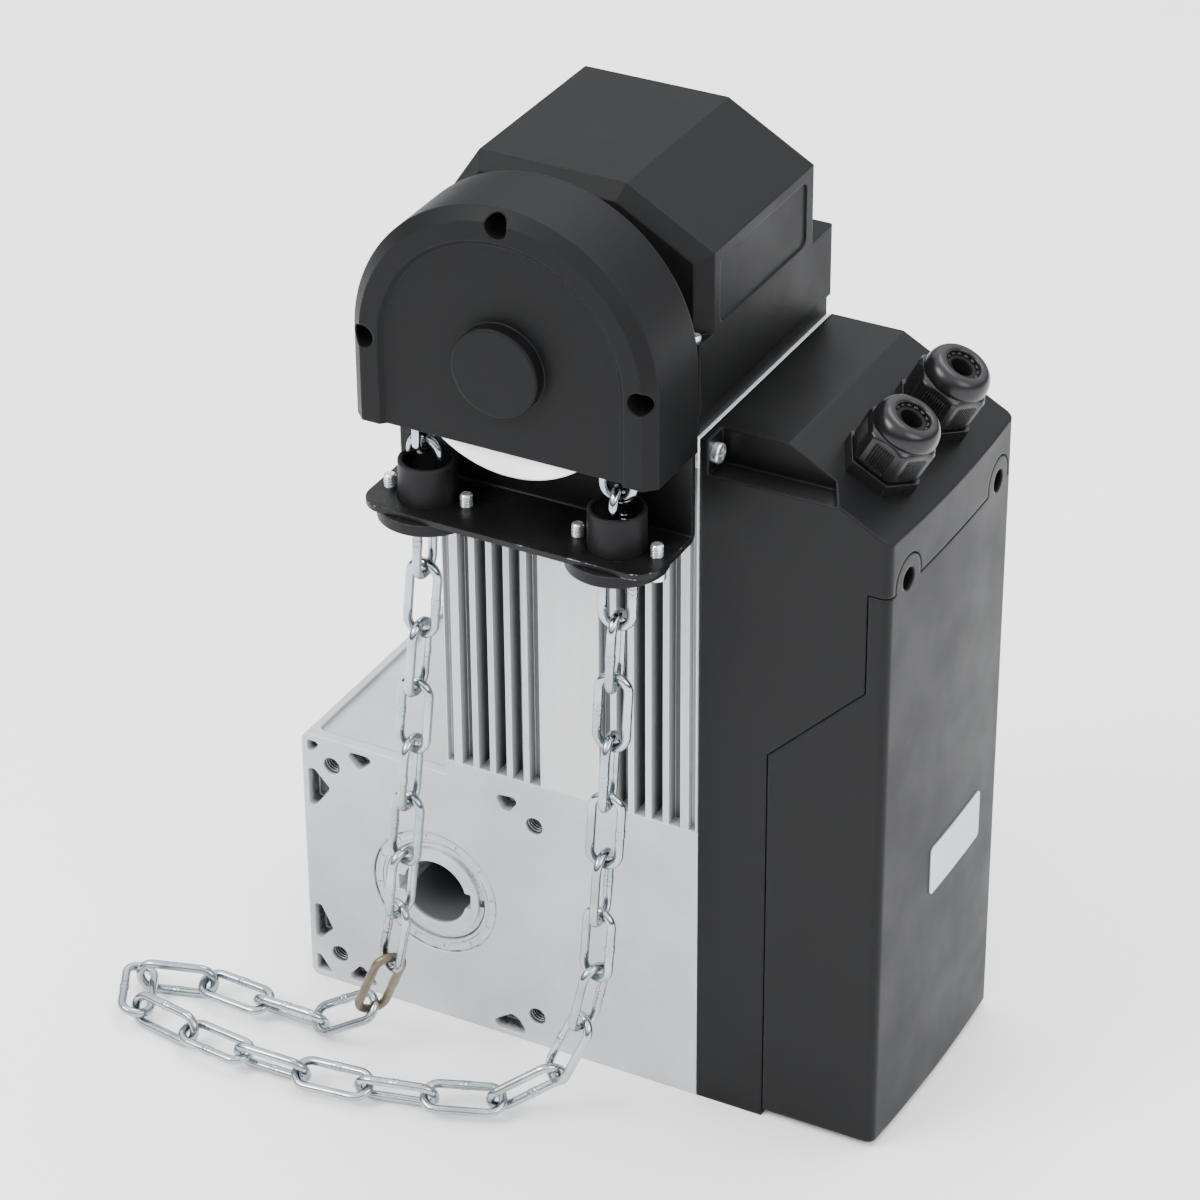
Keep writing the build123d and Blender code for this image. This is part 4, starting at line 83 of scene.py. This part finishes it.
# Node tree helpers
class Tree:
    """Short calls for building one material's nodes."""

    def __init__(self, name):
        self.material = bpy.data.materials.new(name)
        self.material.use_nodes = True
        self.nodes = self.material.node_tree.nodes
        self.links = self.material.node_tree.links
        self.shader = self.nodes["Principled BSDF"]
        self.place = self.nodes.new("ShaderNodeTexCoord").outputs["Object"]

    def put(self, value, socket):
        """A number or colour is set on the socket, an output is linked to it."""
        if isinstance(value, (int, float)):
            socket.default_value = value
        elif isinstance(value, tuple):
            socket.default_value = value + (1.0,)
        else:
            self.links.new(value, socket)

    def math(self, kind, a, b=0.0):
        node = self.nodes.new("ShaderNodeMath")
        node.operation = kind
        for value, socket in zip((a, b), node.inputs):
            self.put(value, socket)
        return node.outputs[0]

    def product(self, first, *others):
        for other in others:
            first = self.math("MULTIPLY", first, other)
        return first

    def reach(self, a, b):
        """Distance from an axis, from the two coordinates across it."""
        return self.math("SQRT", self.math("ADD", self.product(a, a), self.product(b, b)))

    def wave(self, value, pitch):
        return self.math("SINE", self.product(value, 2 * pi / pitch))

    def axes(self):
        node = self.nodes.new("ShaderNodeSeparateXYZ")
        self.links.new(self.place, node.inputs[0])
        return node.outputs

    def noise(self, scale, detail=3.0, rough=0.55, stretch=None):
        node = self.nodes.new("ShaderNodeTexNoise")
        node.inputs["Scale"].default_value = scale
        node.inputs["Detail"].default_value = detail
        node.inputs["Roughness"].default_value = rough
        where = self.place
        if stretch:
            mapping = self.nodes.new("ShaderNodeMapping")
            mapping.inputs["Scale"].default_value = stretch
            self.links.new(where, mapping.inputs["Vector"])
            where = mapping.outputs[0]
        self.links.new(where, node.inputs["Vector"])
        return node.outputs["Fac"]

    def ramp(self, value, low, high, start=0.0, end=1.0):
        node = self.nodes.new("ShaderNodeMapRange")
        node.interpolation_type = "SMOOTHSTEP"
        for number, socket in zip((low, high, start, end), list(node.inputs)[1:5]):
            socket.default_value = number
        self.put(value, node.inputs[0])
        return node.outputs[0]

    def mix(self, share, a, b):
        node = self.nodes.new("ShaderNodeMix")
        node.data_type = "RGBA"
        self.put(share, node.inputs[0])
        self.put(a, node.inputs[6])
        self.put(b, node.inputs[7])
        return node.outputs[2]

    def rounded(self, width):
        """Normal as if every edge had a small radius."""
        bevel = self.nodes.new("ShaderNodeBevel")
        bevel.samples = 6
        bevel.inputs["Radius"].default_value = width
        return bevel.outputs[0]

    def edges(self, width):
        """1 on sharp edges, 0 on flats."""
        flat = self.nodes.new("ShaderNodeNewGeometry")
        dot = self.nodes.new("ShaderNodeVectorMath")
        dot.operation = "DOT_PRODUCT"
        self.links.new(self.rounded(width), dot.inputs[0])
        self.links.new(flat.outputs["Normal"], dot.inputs[1])
        return self.ramp(dot.outputs["Value"], 0.995, 0.88)

    def bump(self, height, distance, strength, soften=0.0):
        node = self.nodes.new("ShaderNodeBump")
        node.inputs["Distance"].default_value = distance
        node.inputs["Strength"].default_value = strength
        self.put(height, node.inputs["Height"])
        if soften:
            self.links.new(self.rounded(soften), node.inputs["Normal"])
        self.links.new(node.outputs[0], self.shader.inputs["Normal"])

    def finish(self, color, rough, metal=0.0):
        """Sets the shader and gives the material."""
        self.put(color, self.shader.inputs["Base Color"])
        self.put(rough, self.shader.inputs["Roughness"])
        self.put(metal, self.shader.inputs["Metallic"])
        return self.material


def plastic(name, base, pale, rough, grain, edge, dust=0.02, shine=0.12, soft=0.0010):
    """Moulded plastic with fine spark texture, painted highlights on the edges and a little dust.
    """
    t = Tree(name)
    t.shader.inputs["Specular IOR Level"].default_value = shine
    mottle = t.noise(38.0, 4.0)
    # Painted highlight: sharp edges are lightened towards the pale colour, broken up by noise.
    edge_highlight = t.product(t.edges(edge), t.ramp(t.noise(260.0, 4.0), 0.35, 0.65, 0.35, 1.0))
    specks = t.ramp(t.noise(900.0, 2.0), 0.70, 0.78, 0.0, dust)
    body = t.mix(t.ramp(mottle, 0.3, 0.7), base, tuple(v * 1.35 for v in base))
    # The pale colour serves both the painted edge highlight and the dust specks.
    color = t.mix(t.math("MAXIMUM", edge_highlight, specks), body, pale)
    t.bump(t.noise(2600.0, 2.0), grain, 0.55, soften=soft)
    return t.finish(color, t.ramp(mottle, 0.25, 0.75, rough - 0.05, rough + 0.06))


def metal(name, base, rough, scale, grain=0.00004, stretch=None, dark=0.75, metallic=1.0):
    """Metal with fine tool marks or grain, stains and painted highlights on the edges."""
    t = Tree(name)
    edge = 0.0003
    marks = t.noise(scale, 3.0, 0.6, stretch)
    stain = t.ramp(t.noise(55.0, 4.0), 0.35, 0.7)
    shade = t.mix(stain, tuple(v * dark for v in base), base)
    # Painted highlight: edges are mixed towards a brighter copy of the base colour.
    color = t.mix(t.product(t.edges(edge), 0.55), shade,
                  tuple(min(1.0, v * 1.25) for v in base))
    t.bump(marks, grain, 0.6, soften=edge)
    return t.finish(color, t.ramp(marks, 0.3, 0.7, rough - 0.07, rough + 0.07), metallic)


def cast_alloy():
    """Cast case: grey grain, painted shade in the rough pockets and in the tapped holes, painted
    highlights on the soft rims, and a pale grey front.
    """
    t = Tree("cast_alloy")
    x, y, z = t.axes()
    from_hole = t.reach(t.math("SUBTRACT", t.math("ABSOLUTE", x), tapped_offset),
                        t.math("SUBTRACT", t.math("ABSOLUTE", z), tapped_offset))
    inside = t.product(t.ramp(x, -0.0521, -0.0519), t.ramp(z, -0.0521, -0.0519),
                       t.ramp(z, 0.0500, 0.0498), t.ramp(y, 0.0072, 0.0070),
                       t.ramp(from_hole, tapped_r + 0.0008, tapped_r + 0.0010))
    # Painted shade: the pockets darken with depth from 0.6 mm to 3.8 mm, with coarse noise in the
    # tone; the same mask limits the rough lumps to the pockets.
    pocket_shade_mask = t.product(inside, t.ramp(y, 0.0006, 0.0038))
    # Painted shade: near-black inside the tapped holes. The mask has no depth limit, so it also
    # darkens any cast surface farther back along those axes, such as dark discs on the rear cover's
    # back face.
    hole_shade = t.product(t.ramp(from_hole, tapped_r + 0.0003, tapped_r + 0.0002),
                     t.ramp(y, 0.0004, 0.0020))
    grain = t.noise(1500.0, 5.0, 0.7)
    coarse = t.noise(620.0, 4.0, 0.65)
    cloud = t.noise(34.0, 4.0)
    pale = t.mix(t.ramp(cloud, 0.3, 0.7), (0.43, 0.435, 0.445), (0.50, 0.505, 0.515))
    pale = t.mix(t.ramp(grain, 0.58, 0.75, 0.0, 0.30), pale, (0.26, 0.265, 0.275))
    pocket_shade_tone = t.mix(t.ramp(coarse, 0.35, 0.65), (0.050, 0.051, 0.054), (0.17, 0.173, 0.18))
    color = t.mix(pocket_shade_mask, pale, pocket_shade_tone)
    color = t.mix(hole_shade, color, (0.030, 0.030, 0.032))
    # Painted highlight: pale soft rims on every edge.
    color = t.mix(t.product(t.edges(0.0010), 0.80), color, (0.66, 0.67, 0.69))
    lumps = t.math("ADD", grain, t.product(coarse, pocket_shade_mask, 6.0))
    t.bump(lumps, 0.00012, 0.7, soften=0.0012)
    return t.finish(color, t.ramp(grain, 0.3, 0.7, 0.44, 0.62), 0.30)


def bore_steel():
    """Hollow shaft: pale turned end, painted shade in the bore that darkens inwards, and painted
    highlights on the edges.
    """
    t = Tree("bore_steel")
    x, y, z = t.axes()
    reach = t.reach(x, z)
    inside = t.product(t.ramp(reach, bore_r + 0.0004, bore_r + 0.0002), t.ramp(y, 0.0, 0.002))
    # Painted shade: the bore darkens inwards, from 1 mm to 40 mm deep.
    shade_depth = t.ramp(y, 0.001, 0.040)
    blot = t.noise(160.0, 3.0)
    end = t.mix(t.ramp(blot, 0.3, 0.7), (0.46, 0.465, 0.475), (0.54, 0.545, 0.555))
    inner = t.mix(shade_depth, (0.120, 0.122, 0.128), (0.040, 0.041, 0.044))
    color = t.mix(inside, end, inner)
    # Painted highlight: pale rims on the edges.
    color = t.mix(t.product(t.edges(0.0005), 0.7), color, (0.72, 0.73, 0.75))
    t.bump(t.wave(reach, 0.00028), 0.000012, 0.5, soften=0.0004)
    return t.finish(color, t.ramp(blot, 0.3, 0.7, 0.36, 0.48), 0.35)


def ribbed_alloy():
    """Extruded housing: pale rib tops, painted shade down the slots that darkens towards the
    motor's seat, and painted highlights on the edges.
    """
    t = Tree("ribbed_alloy")
    x, y, z = t.axes()
    from_mid = t.math("ABSOLUTE", t.math("SUBTRACT", x, motor_mid_x))
    # Painted shade: the slots between the ribs darken with depth in from the outer faces.
    shade_depth = t.math("MINIMUM", t.math("SUBTRACT", motor_half_w, from_mid),
                  t.math("MINIMUM", y, t.math("SUBTRACT", case_depth, y)))
    streak = t.noise(420.0, 4.0, 0.6, (1.0, 1.0, 0.03))
    pad = t.ramp(from_mid, 0.0125, 0.0115)
    face = t.mix(t.ramp(streak, 0.3, 0.7), (0.46, 0.465, 0.475), (0.54, 0.545, 0.555))
    face = t.mix(pad, face, (0.54, 0.545, 0.555))
    # Painted shade: the slot floors grow darker towards the motor's seat at the bottom.
    low = t.ramp(z, motor_seat_z + 0.013, motor_seat_z)
    slot_shade_tone = t.mix(low, (0.105, 0.107, 0.113), (0.016, 0.016, 0.018))
    color = t.mix(t.ramp(shade_depth, 0.0004, 0.0060), face, slot_shade_tone)
    # Painted highlight: near-white rims on the edges.
    color = t.mix(t.product(t.edges(0.0004), 0.8), color, (0.84, 0.85, 0.86))
    t.bump(streak, 0.00005, 0.5, soften=0.0003)
    return t.finish(color, t.ramp(streak, 0.3, 0.7, 0.36, 0.50), 0.45)


def seal_face():
    """Pale seal face: fine concentric lines and generic short ticks."""
    t = Tree("seal_face")
    x, y, z = t.axes()
    reach = t.reach(x, z)
    line_r = 0.0213
    line = t.ramp(t.math("ABSOLUTE", t.math("SUBTRACT", reach, line_r)), 0.00026, 0.00012)
    rim = t.math("MAXIMUM", t.ramp(reach, seal_r - 0.00085, seal_r - 0.00060),
                 t.ramp(reach, 0.01850, 0.01820))
    ticks = 12
    turn = t.wave(t.math("ARCTAN2", z, x), 2 * pi / ticks)
    band = t.product(t.ramp(reach, line_r + 0.0006, line_r + 0.0007),
                     t.ramp(reach, line_r + 0.0024, line_r + 0.0023))
    tick = t.product(t.ramp(turn, 0.975, 0.99), band)
    mottle = t.noise(700.0, 3.0)
    broken = t.ramp(t.noise(120.0, 3.0), 0.42, 0.58, 0.25, 1.0)
    base = t.mix(t.ramp(mottle, 0.3, 0.7), (0.45, 0.455, 0.465), (0.52, 0.525, 0.535))
    color = t.mix(t.product(line, broken), base, (0.11, 0.112, 0.118))
    color = t.mix(t.product(rim, broken), color, (0.06, 0.06, 0.065))
    color = t.mix(t.product(tick, 0.75), color, (0.16, 0.16, 0.17))
    t.bump(t.math("ADD", t.wave(reach, 0.0034), t.product(mottle, 0.4)), 0.00018, 0.7)
    return t.finish(color, t.ramp(mottle, 0.3, 0.7, 0.40, 0.55), 0.25)


def powder_coat():
    """Black coated sheet: silver edges where it is worn, and pale specks."""
    t = Tree("powder_coat")
    t.shader.inputs["Specular IOR Level"].default_value = 0.22
    peel = t.noise(700.0, 3.0)
    chips = t.ramp(t.noise(430.0, 5.0, 0.7), 0.71, 0.75)
    edge = t.product(t.edges(0.0006), t.ramp(t.noise(190.0, 5.0, 0.7), 0.55, 0.66))
    bare = t.math("MAXIMUM", edge, t.product(chips, 0.35))
    body = t.mix(t.ramp(t.noise(60.0, 3.0), 0.3, 0.7), (0.0032, 0.0032, 0.0034),
                 (0.0060, 0.0060, 0.0064))
    color = t.mix(bare, body, (0.50, 0.51, 0.53))
    t.bump(peel, 0.00010, 0.6, soften=0.0005)
    return t.finish(color, t.ramp(peel, 0.3, 0.7, 0.34, 0.48), t.product(bare, 0.9))


def banded(name, base, other, pitch, rough, metallic):
    """Stacked or wound bands, one above the other."""
    t = Tree(name)
    wave = t.wave(t.axes()[2], pitch)
    blot = t.noise(240.0, 3.0)
    color = t.mix(t.ramp(wave, -0.6, 0.6), base, other)
    color = t.mix(t.ramp(blot, 0.5, 0.8, 0.0, 0.5), color, tuple(v * 0.5 for v in base))
    t.bump(t.math("ADD", wave, blot), 0.0002, 0.7)
    return t.finish(color, t.ramp(blot, 0.3, 0.7, rough - 0.05, rough + 0.08), metallic)


def circuit_green():
    """Board with generic copper tracks under green lacquer."""
    t = Tree("circuit_green")
    cells = t.nodes.new("ShaderNodeTexVoronoi")
    cells.distance = "MANHATTAN"
    cells.feature = "F1"
    cells.inputs["Scale"].default_value = 260.0
    t.links.new(t.place, cells.inputs["Vector"])
    track = t.ramp(cells.outputs["Distance"], 0.50, 0.56)
    color = t.mix(track, (0.012, 0.085, 0.035), (0.035, 0.17, 0.07))
    t.bump(track, 0.00006, 0.5)
    return t.finish(color, t.ramp(t.noise(300.0), 0.3, 0.7, 0.25, 0.38))


# Finishes
black_plastic = plastic("black_plastic", (0.0046, 0.0047, 0.0050), (0.022, 0.022, 0.024), 0.48,
                        0.00010, 0.0006, dust=0.01)
box_plastic = plastic("box_plastic", (0.0046, 0.0047, 0.0050), (0.018, 0.018, 0.020), 0.42, 0.00008,
                      0.0007, dust=0.004, shine=0.15, soft=0.0014)
guide_plastic = plastic("guide_plastic", (0.0075, 0.0075, 0.0080), (0.045, 0.045, 0.047), 0.42,
                        0.00009, 0.0008, dust=0.02)
gland_plastic = plastic("gland_plastic", (0.0050, 0.0050, 0.0054), (0.030, 0.030, 0.032), 0.24,
                        0.00003, 0.0005, dust=0.004, shine=0.34, soft=0.0003)
white_plastic = plastic("white_plastic", (0.80, 0.81, 0.82), (0.90, 0.90, 0.91), 0.34, 0.00003,
                        0.0004, dust=0.0, shine=0.5)
relay_plastic = plastic("relay_plastic", (0.03, 0.06, 0.16), (0.3, 0.34, 0.45), 0.35, 0.00004,
                        0.0004)
terminal_plastic = plastic("terminal_plastic", (0.03, 0.15, 0.06), (0.3, 0.42, 0.33), 0.40, 0.00005,
                           0.0004)
friction_mix = plastic("friction_mix", (0.10, 0.085, 0.07), (0.30, 0.28, 0.25), 0.75, 0.0002,
                       0.0004)
zinc = metal("bright_zinc", (0.80, 0.82, 0.84), 0.24, scale=420.0, grain=0.00002, dark=0.88,
             metallic=0.85)
link_zinc = metal("link_zinc", (0.44, 0.485, 0.51), 0.15, scale=240.0, grain=0.00010, dark=0.66,
                  metallic=1.0)
tan_zinc = metal("tan_zinc", (0.25, 0.212, 0.145), 0.34, scale=300.0, grain=0.00014, dark=0.50,
                 metallic=0.7)
turned_steel = metal("turned_steel", (0.56, 0.565, 0.58), 0.30, scale=420.0, grain=0.00002,
                     stretch=(1.0, 14.0, 1.0), dark=0.85)
ground_steel = metal("ground_steel", (0.58, 0.59, 0.61), 0.26, scale=480.0, grain=0.00002,
                     stretch=(1.0, 1.0, 14.0), dark=0.88)
machined_alloy = metal("machined_alloy", (0.90, 0.905, 0.92), 0.34, scale=520.0, dark=0.95,
                       metallic=0.5)
bronze = metal("bronze", (0.55, 0.36, 0.15), 0.34, scale=420.0, dark=0.75)
plate_silver = metal("plate_silver", (0.60, 0.61, 0.63), 0.42, scale=900.0, grain=0.00002,
                     dark=0.93, metallic=0.6)
thread_alloy = metal("thread_alloy", (0.36, 0.365, 0.38), 0.26, scale=500.0, dark=0.8,
                     metallic=0.7)
cast = cast_alloy()
bore = bore_steel()
ribbed = ribbed_alloy()
seal = seal_face()
rubber = plastic("rubber", (0.007, 0.007, 0.0075), (0.03, 0.03, 0.03), 0.6, 0.0002, 0.0003)
coated = powder_coat()
laminate = banded("laminate", (0.16, 0.16, 0.17), (0.30, 0.30, 0.31), 0.001, 0.5, 0.9)
copper = banded("copper_wire", (0.42, 0.16, 0.07), (0.60, 0.26, 0.12), 0.0012, 0.35, 0.9)
board = circuit_green()

finishes = {
    cast: "gearbox_housing rear_cover clutch_housing",
    ribbed: "motor_housing",
    machined_alloy: "end_shield",
    bore: "hollow_shaft",
    turned_steel: "retaining_rings hand_shaft clutch_key wheel_key clutch_sleeve "
                  "bevel_pinion wheel_clip output_bearings output_inner_rings",
    ground_steel: "worm_shaft motor_bearings motor_inner_rings crown_gear brake_armature "
                  "brake_plate brake_springs",
    bronze: "worm_wheel hand_shaft_bushes",
    seal: "shaft_seals",
    rubber: "cable_gland_seals cover_gasket",
    zinc: "rear_cover_screws motor_tie_bolts brake_bolts bracket_screws guide_screws "
          "chain_cover_screws hood_screws box_cover_screws box_mount_screws",
    link_zinc: "chain_over_wheel chain_left_strand chain_floor_loop chain_right_strand",
    tan_zinc: "chain_joining_link",
    coated: "chain_bracket brake_coil",
    guide_plastic: "left_chain_guide right_chain_guide",
    black_plastic: "chain_cover motor_hood",
    box_plastic: "control_box_base control_box_cover",
    gland_plastic: "cable_gland_bodies cable_gland_caps",
    white_plastic: "chain_wheel",
    laminate: "stator_core rotor_core",
    copper: "stator_windings",
    friction_mix: "brake_disc",
    board: "circuit_board",
    relay_plastic: "relays",
    terminal_plastic: "terminal_block",
    plate_silver: "rating_plate",
}
for material, names in finishes.items():
    for name in names.split():
        for place in nodes[name].material_slots:
            place.material = material


def piece(name, mesh_maker, material, body):
    """Makes an object from a bmesh-filling function and lets it ride a body."""
    mesh = bpy.data.meshes.new(name)
    work = bmesh.new()
    mesh_maker(work)
    bmesh.ops.recalc_face_normals(work, faces=work.faces)
    work.to_mesh(mesh)
    work.free()
    for polygon in mesh.polygons:
        polygon.use_smooth = True
    made = bpy.data.objects.new(name, mesh)
    scene.collection.objects.link(made)
    mesh.materials.append(material)
    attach(made, body)
    return made


def tube_along(work, points, radius, sides):
    """Round bar through points, with flat ends."""
    rings = []
    count = len(points)
    lift = None
    for i, spot in enumerate(points):
        after = points[min(i + 1, count - 1)]
        before = points[max(i - 1, 0)]
        along = (after - before).normalized()
        if lift is None:
            lift = along.orthogonal().normalized()
        lift = (lift - along * lift.dot(along)).normalized()
        side = along.cross(lift)
        thick = radius(i / count) if callable(radius) else radius
        rings.append([work.verts.new(spot + (lift * cos(a) + side * sin(a)) * thick)
                      for a in (2 * pi * k / sides for k in range(sides))])
    for a, b in zip(rings, rings[1:]):
        for k in range(sides):
            work.faces.new((a[k], a[(k + 1) % sides], b[(k + 1) % sides], b[k]))
    work.faces.new(list(reversed(rings[0])))
    work.faces.new(rings[-1])


def thread(work, start, out, side, along, radius, pitch, turns, wire_r, steps):
    """Helix round an axis, one small round ridge."""
    points = []
    for i in range(turns * steps + 1):
        turn = 2 * pi * i / steps
        points.append(start + (out * cos(turn) + side * sin(turn)) * radius
                      + along * (pitch * i / steps))
    tube_along(work, points, wire_r, 6)


def loose_parts(mesh):
    """Vertex groups of a mesh's separate solids, by walking its edges."""
    places = {}
    roots = []
    for vertex in mesh.vertices:
        key = tuple(round(c, 6) for c in vertex.co)
        roots.append(places.setdefault(key, vertex.index))
    parent = list(range(len(mesh.vertices)))

    def find(i):
        while parent[i] != i:
            parent[i] = parent[parent[i]]
            i = parent[i]
        return i

    for i, root in enumerate(roots):
        parent[find(i)] = find(root)
    for edge in mesh.edges:
        parent[find(edge.vertices[0])] = find(edge.vertices[1])
    groups = {}
    for i in range(len(mesh.vertices)):
        groups.setdefault(find(i), []).append(i)
    return list(groups.values())


# Threads in the flange holes and on the guides' screws
x_way, y_way, z_way = Vector((1, 0, 0)), Vector((0, 1, 0)), Vector((0, 0, 1))


def flange_threads(work):
    first_turn_y = 0.0016
    for cx in (-tapped_offset, tapped_offset):
        for cz in (-tapped_offset, tapped_offset):
            thread(work, Vector((cx, first_turn_y, cz)), x_way, z_way, y_way,
                   tapped_r, 0.00125, 12, 0.00034, 18)


def stud_threads(work):
    """Fine threads on the screw ends that stand above the bracket's shelf."""
    mesh = nodes["guide_screws"].data
    for group in loose_parts(mesh):
        spots = [mesh.vertices[i].co for i in group]
        crown = max(v.z for v in spots)
        high = [v for v in spots if v.z > crown - 0.002]
        xs = [v.x for v in high]
        ys = [v.y for v in high]
        middle = Vector(((max(xs) + min(xs)) / 2, (max(ys) + min(ys)) / 2, crown - 0.0005))
        shank = (max(xs) - min(xs)) / 2
        thread(work, middle, x_way, y_way, -z_way, shank, 0.0006, 8, 0.00017, 16)


piece("flange_threads", flange_threads, thread_alloy, "frame")
piece("stud_threads", stud_threads, zinc, "frame")

# Ribbed caps of the cable glands
gland_slope = atan2(22.8, 42.5)
gland_axis = Vector((sin(gland_slope), 0, cos(gland_slope)))
gland_side = Vector((cos(gland_slope), 0, -sin(gland_slope)))
gland_across = gland_axis.cross(gland_side)
gland_foot_x, gland_foot_z = 0.15325, 0.197795
cap_lift = 0.0053
cap_flat_r = 11.5
cap_corner_r = 12.75
rib_reach = 0.30
ribs_from = radians(18.0)
rib_rate = 80


def cap_foot(y):
    return Vector((gland_foot_x, y, gland_foot_z)) + gland_axis * cap_lift


def cap_rows():
    """Rows of (height, round radius, share of hexagon, ribbed or not), in millimetres."""
    rows = [(0.0, 9.05, 0, 0), (0.0, 11.0, 0.8, 0), (0.5, 11.3, 1, 0), (1.3, 11.5, 1, 0),
            (1.6, 11.5, 1, 1)]
    rows += [(1.6 + 0.95 * k, 11.5, 1, 1) for k in range(1, 10)]
    rows += [(10.5, 11.5, 1, 0), (11.6, 11.5, 1, 0), (12.5, 11.5, 0.55, 0),
             (12.9, 11.45, 0.1, 0), (13.1, 11.2, 0, 0), (13.35, 11.1, 0, 0)]
    for k in range(0, 11):
        turn = pi / 2 * k / 10
        rows.append((13.7 + 6.3 * sin(turn), 7.6 + 3.95 * cos(turn), 0, 0))
    rows += [(20.0, 6.9, 0, 0), (19.8, 6.35, 0, 0), (19.3, 6.1, 0, 0), (18.0, 6.05, 0, 0),
             (10.2, 6.05, 0, 0), (10.0, 9.05, 0, 0)]
    return rows


def gland_caps(work):
    columns = 720
    for y in gland_ys:
        rings = []
        for height, round_r, hexagon, rib in cap_rows():
            ring = []
            for k in range(columns):
                turn = 2 * pi * k / columns
                off = (turn % radians(60)) - radians(30)
                hex_r = min(cap_flat_r / cos(off), cap_corner_r)
                reach = round_r * (1 - hexagon) + hex_r * hexagon * round_r / cap_flat_r
                if rib and abs(off) < ribs_from:
                    reach += rib_reach * max(-1.0, min(1.0, 1.7 * cos(off * rib_rate)))
                out = gland_side * cos(turn) + gland_across * sin(turn)
                ring.append(work.verts.new(
                    cap_foot(y) + gland_axis * height * 1e-3 + out * reach * 1e-3))
            rings.append(ring)
        for a, b in zip(rings, rings[1:] + rings[:1]):
            for k in range(columns):
                work.faces.new((a[k], a[(k + 1) % columns], b[(k + 1) % columns], b[k]))


def gland_fingers(work):
    """Short pads of the clamping fingers that show round each seal."""
    fingers, height = 14, 0.0013
    for y in gland_ys:
        low = cap_foot(y) + gland_axis * 0.0176
        for k in range(fingers):
            turn = 2 * pi * k / fingers
            out = gland_side * cos(turn) + gland_across * sin(turn)
            side = gland_axis.cross(out)
            corners = []
            for reach, half_w in ((0.0052, 0.0008), (0.0061, 0.0009)):
                for rise in (0.0, height):
                    for way in (-1, 1):
                        corners.append(work.verts.new(
                            low + out * reach + gland_axis * rise + side * half_w * way))
            for face in ((0, 1, 3, 2), (4, 6, 7, 5), (0, 4, 5, 1), (2, 3, 7, 6), (0, 2, 6, 4),
                         (1, 5, 7, 3)):
                work.faces.new([corners[i] for i in face])


caps = piece("gland_caps", gland_caps, gland_plastic, "frame")
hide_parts("cable_gland_caps")
piece("gland_fingers", gland_fingers, gland_plastic, "frame")


# Weld marks on the chain's links
wire_middle = 0.00515
weld_half = 0.0019


def link_axes(mesh, group):
    """Middle, long axis and width axis of one link."""
    spots = np.array([mesh.vertices[i].co[:] for i in group])
    spots = np.unique(spots.round(6), axis=0)
    centre = spots.mean(0)
    for _ in range(2):
        axes = np.linalg.svd(spots - centre, full_matrices=False)[2]
        local = (spots - centre) @ axes.T
        centre = centre + ((local.max(0) + local.min(0)) / 2) @ axes
    return Vector(centre), Vector(axes[0]), Vector(axes[1])


def weld_thickness(share):
    """Swollen in the middle, with a fine crease round it."""
    crease = 0.00016 if abs(share - 0.5) < 0.05 else 0.0
    return 0.00157 + 0.00022 * sin(pi * share) ** 0.5 - crease


def weld_maker(node_name):
    def welds(work):
        mesh = nodes[node_name].data
        for order, group in enumerate(loose_parts(mesh)):
            centre, along, across = link_axes(mesh, group)
            way = 1 if order % 2 else -1
            points = [centre + across * (way * wire_middle) + along * (weld_half * (k / 8 - 1))
                      for k in range(17)]
            tube_along(work, points, weld_thickness, 16)
    return welds


for node_name in ("chain_over_wheel", "chain_left_strand", "chain_floor_loop",
                  "chain_right_strand"):
    piece(node_name + "_welds", weld_maker(node_name), link_zinc, "frame")
piece("chain_joining_link_welds", weld_maker("chain_joining_link"), tan_zinc, "frame")

# Floor
floor_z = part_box("gearbox_housing")[0].z - 0.0001
floor_half = 6
floor_mesh = bpy.data.meshes.new("floor")
floor_mesh.from_pydata([(sx * floor_half, sy * floor_half, floor_z)
                        for sx, sy in ((-1, -1), (1, -1), (1, 1), (-1, 1))], [], [(0, 1, 2, 3)])
floor = bpy.data.objects.new("floor", floor_mesh)
scene.collection.objects.link(floor)
paper = Tree("paper")
paper_tone = paper.mix(paper.ramp(paper.noise(3.0), 0.3, 0.7), (0.925, 0.925, 0.93),
                       (0.94, 0.94, 0.943))
floor_mesh.materials.append(paper.finish(paper_tone, 0.9))

# Soft studio light: bright overhead, dim near the ground
world = bpy.data.worlds.new("studio")
scene.world = world
world.use_nodes = True
sky = world.node_tree
around = sky.nodes.new("ShaderNodeTexCoord")
split = sky.nodes.new("ShaderNodeSeparateXYZ")
sky.links.new(around.outputs["Generated"], split.inputs[0])
rise = sky.nodes.new("ShaderNodeMapRange")
rise.interpolation_type = "SMOOTHSTEP"
low_sky, high_sky, dim, bright = 0.04, 0.62, 0.16, 2.35
for number, socket in zip((low_sky, high_sky, dim, bright), list(rise.inputs)[1:5]):
    socket.default_value = number
sky.links.new(split.outputs[2], rise.inputs[0])
sky.nodes["Background"].inputs["Color"].default_value = (0.97, 0.98, 1.0, 1.0)
sky.links.new(rise.outputs[0], sky.nodes["Background"].inputs["Strength"])


def soft_light(name, spot, size, power):
    """Broad lamp that looks at the middle of the part."""
    aim = Vector((0.05, 0.03, 0.10))
    data = bpy.data.lights.new(name, "AREA")
    data.shape = "RECTANGLE"
    data.size = size
    data.size_y = size * 0.7
    data.energy = power
    lamp = bpy.data.objects.new(name, data)
    lamp.location = spot
    lamp.rotation_euler = (aim - Vector(spot)).to_track_quat("-Z", "Y").to_euler()
    scene.collection.objects.link(lamp)


soft_light("key_light", (-0.9, -1.3, 1.6), 1.1, 42)
soft_light("fill_light", (1.7, -0.5, 1.1), 1.2, 16)
soft_light("top_light", (0.2, 0.5, 1.9), 1.4, 26)
